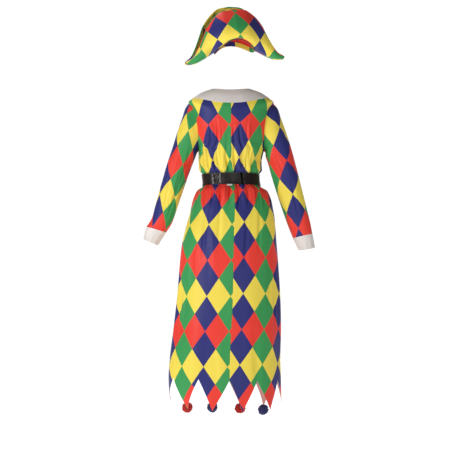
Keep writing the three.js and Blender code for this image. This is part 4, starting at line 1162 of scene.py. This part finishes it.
# %% Hat tables and forms
BRIM = table(
    "angle inner_x inner_z fold_x fold_y fold_z top_x top_y back front",
    (0, 0, 28, 0, 124, 32, 0, 52, 156, 185), (30, 0, 17, 46, 118, 24, 44, 52, 152, 179),
    (60, 0, -6, 86, 96, 0, 85, 50, 126, 147), (90, 88, -18, 118, 70, -22, 119, 46, 84, 102),
    (90, 114, -31, 142, 53, -42, 140, 41, 40, 54), (90, 146, -47, 166, 38, -58, 162, 35, -2, 8),
    (90, 180, -58, 188, 26, -66, 188, 26, -38, -32), (90, 214, -60, 217, 13, -64, 221, 12, -55, -54),
)
BRIM_LAST = 7
OPENING_ENDS = 3
FRONT_BRIM_WIDER = 5
FOLD_REACH, FOLD_DROP, FOLD_SAG = 1.08, 5, 12
ROUND_MIDDLE = 0.7
BRIM_COLUMNS = 70
BRIM_HALF = 2.0
PIPING_RADIUS, PIPING_SIDES = 2.8, 8
HEAD_HALF_WIDTH, HEAD_HALF_DEPTH = 88, 103
OPENING_AT_BACK, OPENING_DROP = 28, 46
CROWN_HEIGHT = 92
HAT_PLACE = np.array([-13, -12, 199])
HAT_TURNS = np.array(Euler((math.radians(-4), math.radians(5), math.radians(8.5)), "XYZ").to_matrix())
SECTION_STEPS = np.concatenate([np.linspace(0, 0.982, 34), [0.989, 0.995, 1.0]])
SECTION_HALF = np.concatenate([np.ones(33), [1.0, 0.86, 0.55, 0.08]])


def opening_point(angle, facing, drawn_in, up):
    """The edge of the head opening."""
    s, c = np.sin(angle), np.cos(angle)
    return np.stack([(HEAD_HALF_WIDTH - drawn_in) * s, facing * (HEAD_HALF_DEPTH - drawn_in) * c,
                     OPENING_AT_BACK - OPENING_DROP * s * s + up], -1)


def brim_section(place, side, facing):
    row = at(BRIM, place)
    if place < OPENING_ENDS:
        start = opening_point(math.radians(row["angle"]), facing, 0, 0)
    else:
        start = np.array([row["inner_x"], 0, row["inner_z"]])
    top = row["back"] if facing > 0 else row["front"]
    wider = 0 if facing > 0 else FRONT_BRIM_WIDER * math.sin(math.pi * place / BRIM_LAST)
    turn_y = facing * row["fold_y"] * FOLD_REACH
    sag = FOLD_SAG * bump(place / OPENING_ENDS) if facing > 0 else 0
    upper_x, upper_z = row["fold_x"] * 0.6 + row["top_x"] * 0.4, row["fold_z"] * 0.55 + top * 0.45
    control = [start, np.array([row["fold_x"], turn_y, row["fold_z"] - FOLD_DROP - sag]),
               np.array([upper_x, turn_y, upper_z]),
               np.array([row["top_x"] + wider, facing * row["top_y"], top])]
    t = SECTION_STEPS[:, None]
    curve = (1 - t) ** 3 * control[0] + 3 * (1 - t) ** 2 * t * control[1]
    curve = curve + 3 * (1 - t) * t * t * control[2] + t ** 3 * control[3]
    return curve * [side, 1, 1]


def in_place(points):
    """Turns points of the hat's own frame to where it sits."""
    return (points.reshape(-1, 3) @ HAT_TURNS.T + HAT_PLACE).reshape(points.shape)


def own_frame(points):
    """Points of the placed hat, in the hat's own frame."""
    return (points - HAT_PLACE) @ HAT_TURNS


def brim_grid(facing):
    sections = []
    for k in range(-BRIM_COLUMNS, BRIM_COLUMNS + 1):
        share = abs(k) / BRIM_COLUMNS
        eased = math.hypot(share * BRIM_LAST, ROUND_MIDDLE) - ROUND_MIDDLE * (1 - share)
        place = min(eased, BRIM_LAST)
        sections.append(brim_section(place, 1 if k * facing < 0 else -1, facing))
    return in_place(np.array(sections).transpose(1, 0, 2))


BACK_BRIM, FRONT_BRIM = brim_grid(1), brim_grid(-1)
print("brim section points:", len(SECTION_STEPS))

# %% [markdown]
# A flap is cut as a crescent, so its lattice bows down to both tips when it is turned up. On the back
# flap, sums of the place across the hat and its height say this with a few numbers. The front flap's
# lattice is simpler: it follows the flap's own upper edge.

# %% Print maps of the hat
BACK_FLAP_LATTICE = {"across": (-0.137, -9.23e-3, 6.171e-4, -1.351e-7, -1.453e-5),
                     "down": (2.386, 1.651e-4, -1.011e-2, 0.0, 1.322e-6, -2.047e-5)}
BOW_ENDS = 158
UPPER_SHARE = 0.75
FRONT_FLAP_LATTICE = {"across": (0.904, -1.266e-2), "down": (1.98, 0.0, 6.7e-3)}


def brim_flat(grid):
    """Lengths along a brim from its middle, and down from its upper edge."""
    arc = arc_of(grid[int(len(SECTION_STEPS) * UPPER_SHARE)])
    arc -= arc[BRIM_COLUMNS]
    down = np.linalg.norm(np.diff(grid, axis=0), axis=2)
    from_edge = np.concatenate([np.cumsum(down[::-1], axis=0)[::-1], np.zeros((1, grid.shape[1]))])
    return np.repeat(arc[None], len(grid), axis=0), from_edge


X, Z = own_frame(BACK_BRIM)[:, :, 0], own_frame(BACK_BRIM)[:, :, 2]
BOWED = np.clip(X, -BOW_ENDS, BOW_ENDS)
BACK_BRIM_PRINT = laid(BACK_FLAP_LATTICE, X, Z, BOWED ** 3, X * Z, BOWED ** 2)
FRONT_BRIM_PRINT = laid(FRONT_FLAP_LATTICE, *brim_flat(FRONT_BRIM))
print("diamonds along the front flap:", round(float(np.ptp(FRONT_BRIM_PRINT[..., 0])), 1))

# %% [markdown]
# The foam between the two layers makes a brim stiff and round at its edge, so each flap is a thick
# shell. A thin tube along its edge is the binding, and a row of dark thread holds the layers.

# %% Hat pieces
def plain_satin(name, colour):
    finish = Finish(name, Specular_IOR_Level=0.25, Base_Color=colour, Roughness=0.4)
    return finish.set(Normal=satin_folds(finish)).material


def piping(name, line, changes, colours):
    """A thin tube of bias strips along a line; changes says where it turns from colour to colour."""
    sides = PIPING_SIDES
    along = unit(np.gradient(line, axis=0))
    side = unit(np.cross(along, [0.0, 0.0, 1.0]))
    up = np.cross(side, along)
    turn = np.arange(sides) / sides * 2 * math.pi
    taper = np.minimum(1, np.minimum(np.arange(len(line)), np.arange(len(line))[::-1]) / 4 + 0.25)
    radius = (PIPING_RADIUS * taper)[:, None, None]
    ring = side[:, None] * np.cos(turn)[:, None] + up[:, None] * np.sin(turn)[:, None]
    vertices = (line[:, None] + ring * radius).reshape(-1, 3)
    slots = [sum(x < change for change in changes) for x in line[:-1, 0] for _ in range(sides)]
    faces = tube_faces(0, len(line) - 1, sides)
    faces += [tuple(range(sides)), tuple(range(len(vertices) - sides, len(vertices)))[::-1]]
    corners = np.zeros((sum(len(f) for f in faces), 2))
    return as_piece(name, vertices, faces, corners, slots + [0, len(changes)],
                    [STRIPS[colour] for colour in colours.split()])


HAT_SATIN = printed_satin("hat_print")
HAT_LINING = plain_lining("hat_lining")
STRIPS = {name: plain_satin(f"{name}_strip", colour)
          for name, colour in (("yellow", YELLOW), ("red", RED), ("blue", BLUE), ("green", GREEN))}
TIP_TAPER = np.ones(2 * BRIM_COLUMNS + 1)
TIP_TAPER[[0, -1]] = 0.1
TIP_TAPER[[1, -2]] = 0.75
FLAP_HALF = BRIM_HALF * SECTION_HALF[:, None] * TIP_TAPER[None]
FLAP_FINISHES = [HAT_SATIN, HAT_SATIN]
hat_back = shell("hat_back_flap", BACK_BRIM, FLAP_HALF, FLAP_FINISHES, "hat_print", "hat_back_brim",
                 BACK_BRIM_PRINT)
hat_front = shell("hat_front_flap", FRONT_BRIM, FLAP_HALF, FLAP_FINISHES, "hat_print", "hat_front_brim",
                  FRONT_BRIM_PRINT)
piping("hat_back_piping", BACK_BRIM[-1], (152, 104, 26, 0, -97, -150, -185),
       "blue red green yellow red blue yellow red")
piping("hat_front_piping", FRONT_BRIM[-1], (170, 118, 25, -110, -170), "blue green yellow green blue red")
STITCH_ROW, STITCH_OUT = 31, 2.1
stitches("hat_back_stitches", BACK_BRIM, STITCH_ROW, -STITCH_OUT, DARK_THREAD)
stitches("hat_front_stitches", FRONT_BRIM, STITCH_ROW, STITCH_OUT, DARK_THREAD)
NAPE_SHARE = 0.9
AT_NAPE = np.abs(own_frame(BACK_BRIM[0])[:, 0]) < HEAD_HALF_WIDTH * NAPE_SHARE
piping("hat_opening_piping", BACK_BRIM[0][AT_NAPE] - [0, -1.5, 2.5], (17, -23, -88),
       "yellow green red green")

# %% [markdown]
# Between the flaps sits a soft dome for the head, over a narrow band that lines the opening.

# %% Crown and band
CROWN_POINTS, CROWN_ROWS, BAND_ROWS = 96, 26, 8
CROWN_TOP, CROWN_ROUNDNESS = 0.004, 0.8
DRAWN_IN = 0.9
BAND_TOP, BAND_BOTTOM = 12, -9


def around_opening(up):
    return opening_point(np.arange(CROWN_POINTS) / CROWN_POINTS * 2 * math.pi, 1, DRAWN_IN, up)


def crown_grid():
    foot = around_opening(BAND_TOP + GAP)
    rows = []
    for rise in np.linspace(math.pi / 2, 0, CROWN_ROWS):
        narrow = max(math.cos(rise), 0) ** CROWN_ROUNDNESS if rise < math.pi / 2 - 1e-6 else CROWN_TOP
        row = foot * [narrow, narrow, 1]
        row[:, 2] = foot[:, 2] + (CROWN_HEIGHT - foot[:, 2]) * math.sin(rise)
        rows.append(row)
    return in_place(np.array(rows)[:, ::-1])


def tube_print(grid, across, down, bias=0.0):
    """A print map for a closed form: lengths round it and down it, cut at a bias angle."""
    around = np.concatenate([grid, grid[:, :1]], axis=1)
    s, h = np.meshgrid(arc_of(around[-1]), arc_of(grid[:, 0]))
    c, d = math.cos(bias), math.sin(bias)
    return np.stack([(s * c + h * d) / DIAMOND_WIDTH + across, (h * c - s * d) / DIAMOND_HEIGHT + down], -1)


CROWN = crown_grid()
BAND_HEIGHTS = np.linspace(BAND_TOP, BAND_BOTTOM, BAND_ROWS)
BAND = in_place(np.array([around_opening(up) for up in BAND_HEIGHTS])[:, ::-1])
LINED = [HAT_SATIN, HAT_LINING, HAT_SATIN]
cut_piece((0.32, 0.34), "hat_crown_cloth", CROWN, 0.6, LINED, "hat_print", "hat_crown",
          tube_print(CROWN, 0.3, 0.2), closed=True)
cut_piece((0.62, 0.024), "hat_band_cloth", BAND, 0.75, LINED, "hat_print", "hat_band",
          tube_print(BAND, 0.5, 0.9, math.radians(35)), closed=True)

# %% [markdown]
# ## Studio
# A pale floor runs under the costume, and a white screen glows behind it, which gives a clean
# background. The cloth is lit by one soft light from the picture's left, a weak one from beside the
# camera and a small one over the hat, so that folds still show. Floor and screen are staging and
# not part of the costume.

# %% Studio
FLOOR_HEIGHT = -1.62
SCREEN_DISTANCE = 9
WHITE_LIGHT = (1, 1, 1, 1)


def staging(name, half_width, half_height, place, tilt, **looks):
    """A flat rectangle behind or under the costume."""
    mesh = bpy.data.meshes.new(name)
    mesh.from_pydata([(x * half_width, 0, z * half_height) for x, z in ((-1, -1), (1, -1), (1, 1), (-1, 1))],
                     [], [(3, 2, 1, 0)])
    mesh.materials.append(Finish(f"{name}_finish", Emission_Color=WHITE_LIGHT, **looks).material)
    sheet = bpy.data.objects.new(name, mesh)
    sheet.location = place
    sheet.rotation_euler = (tilt, 0, 0)
    bpy.context.scene.collection.objects.link(sheet)


def soft_light(name, place, size, power, target=(0, 0, -0.6)):
    data = bpy.data.lights.new(name, "AREA")
    data.shape = "DISK"
    data.size = size
    data.energy = power
    lamp = bpy.data.objects.new(name, data)
    lamp.location = place
    lamp.rotation_euler = (Vector(target) - Vector(place)).to_track_quat("-Z", "Y").to_euler()
    bpy.context.scene.collection.objects.link(lamp)


staging("studio_screen", 6, 6, (0, -SCREEN_DISTANCE, -0.6), 0, Base_Color=(0, 0, 0, 1),
        Specular_IOR_Level=0.0, Emission_Strength=1.05)
staging("studio_floor", 8, SCREEN_DISTANCE, (0, 0, FLOOR_HEIGHT), -math.pi / 2,
        Base_Color=(0.9, 0.9, 0.9, 1), Roughness=0.8, Emission_Strength=0.85)
soft_light("key_light", (3.1, 2.9, 0.1), 0.8, 71)
soft_light("fill_light", (-0.6, 4.6, -0.3), 2.0, 18)
soft_light("hat_light", (0.7, -0.4, 1.7), 0.5, 12, (0, 0, 0.3))
world = bpy.data.worlds.new("bright_room")
world.use_nodes = True
world.node_tree.nodes["Background"].inputs["Color"].default_value = WHITE_LIGHT
world.node_tree.nodes["Background"].inputs["Strength"].default_value = 0.20
bpy.context.scene.world = world
print("soft lights:", len(bpy.data.lights))

# %% [markdown]
# A box's corners are turned into plain lists of numbers.

# %% Keep the two boxes and finish
def plain(box):
    return [[float(v) for v in corner] for corner in box]
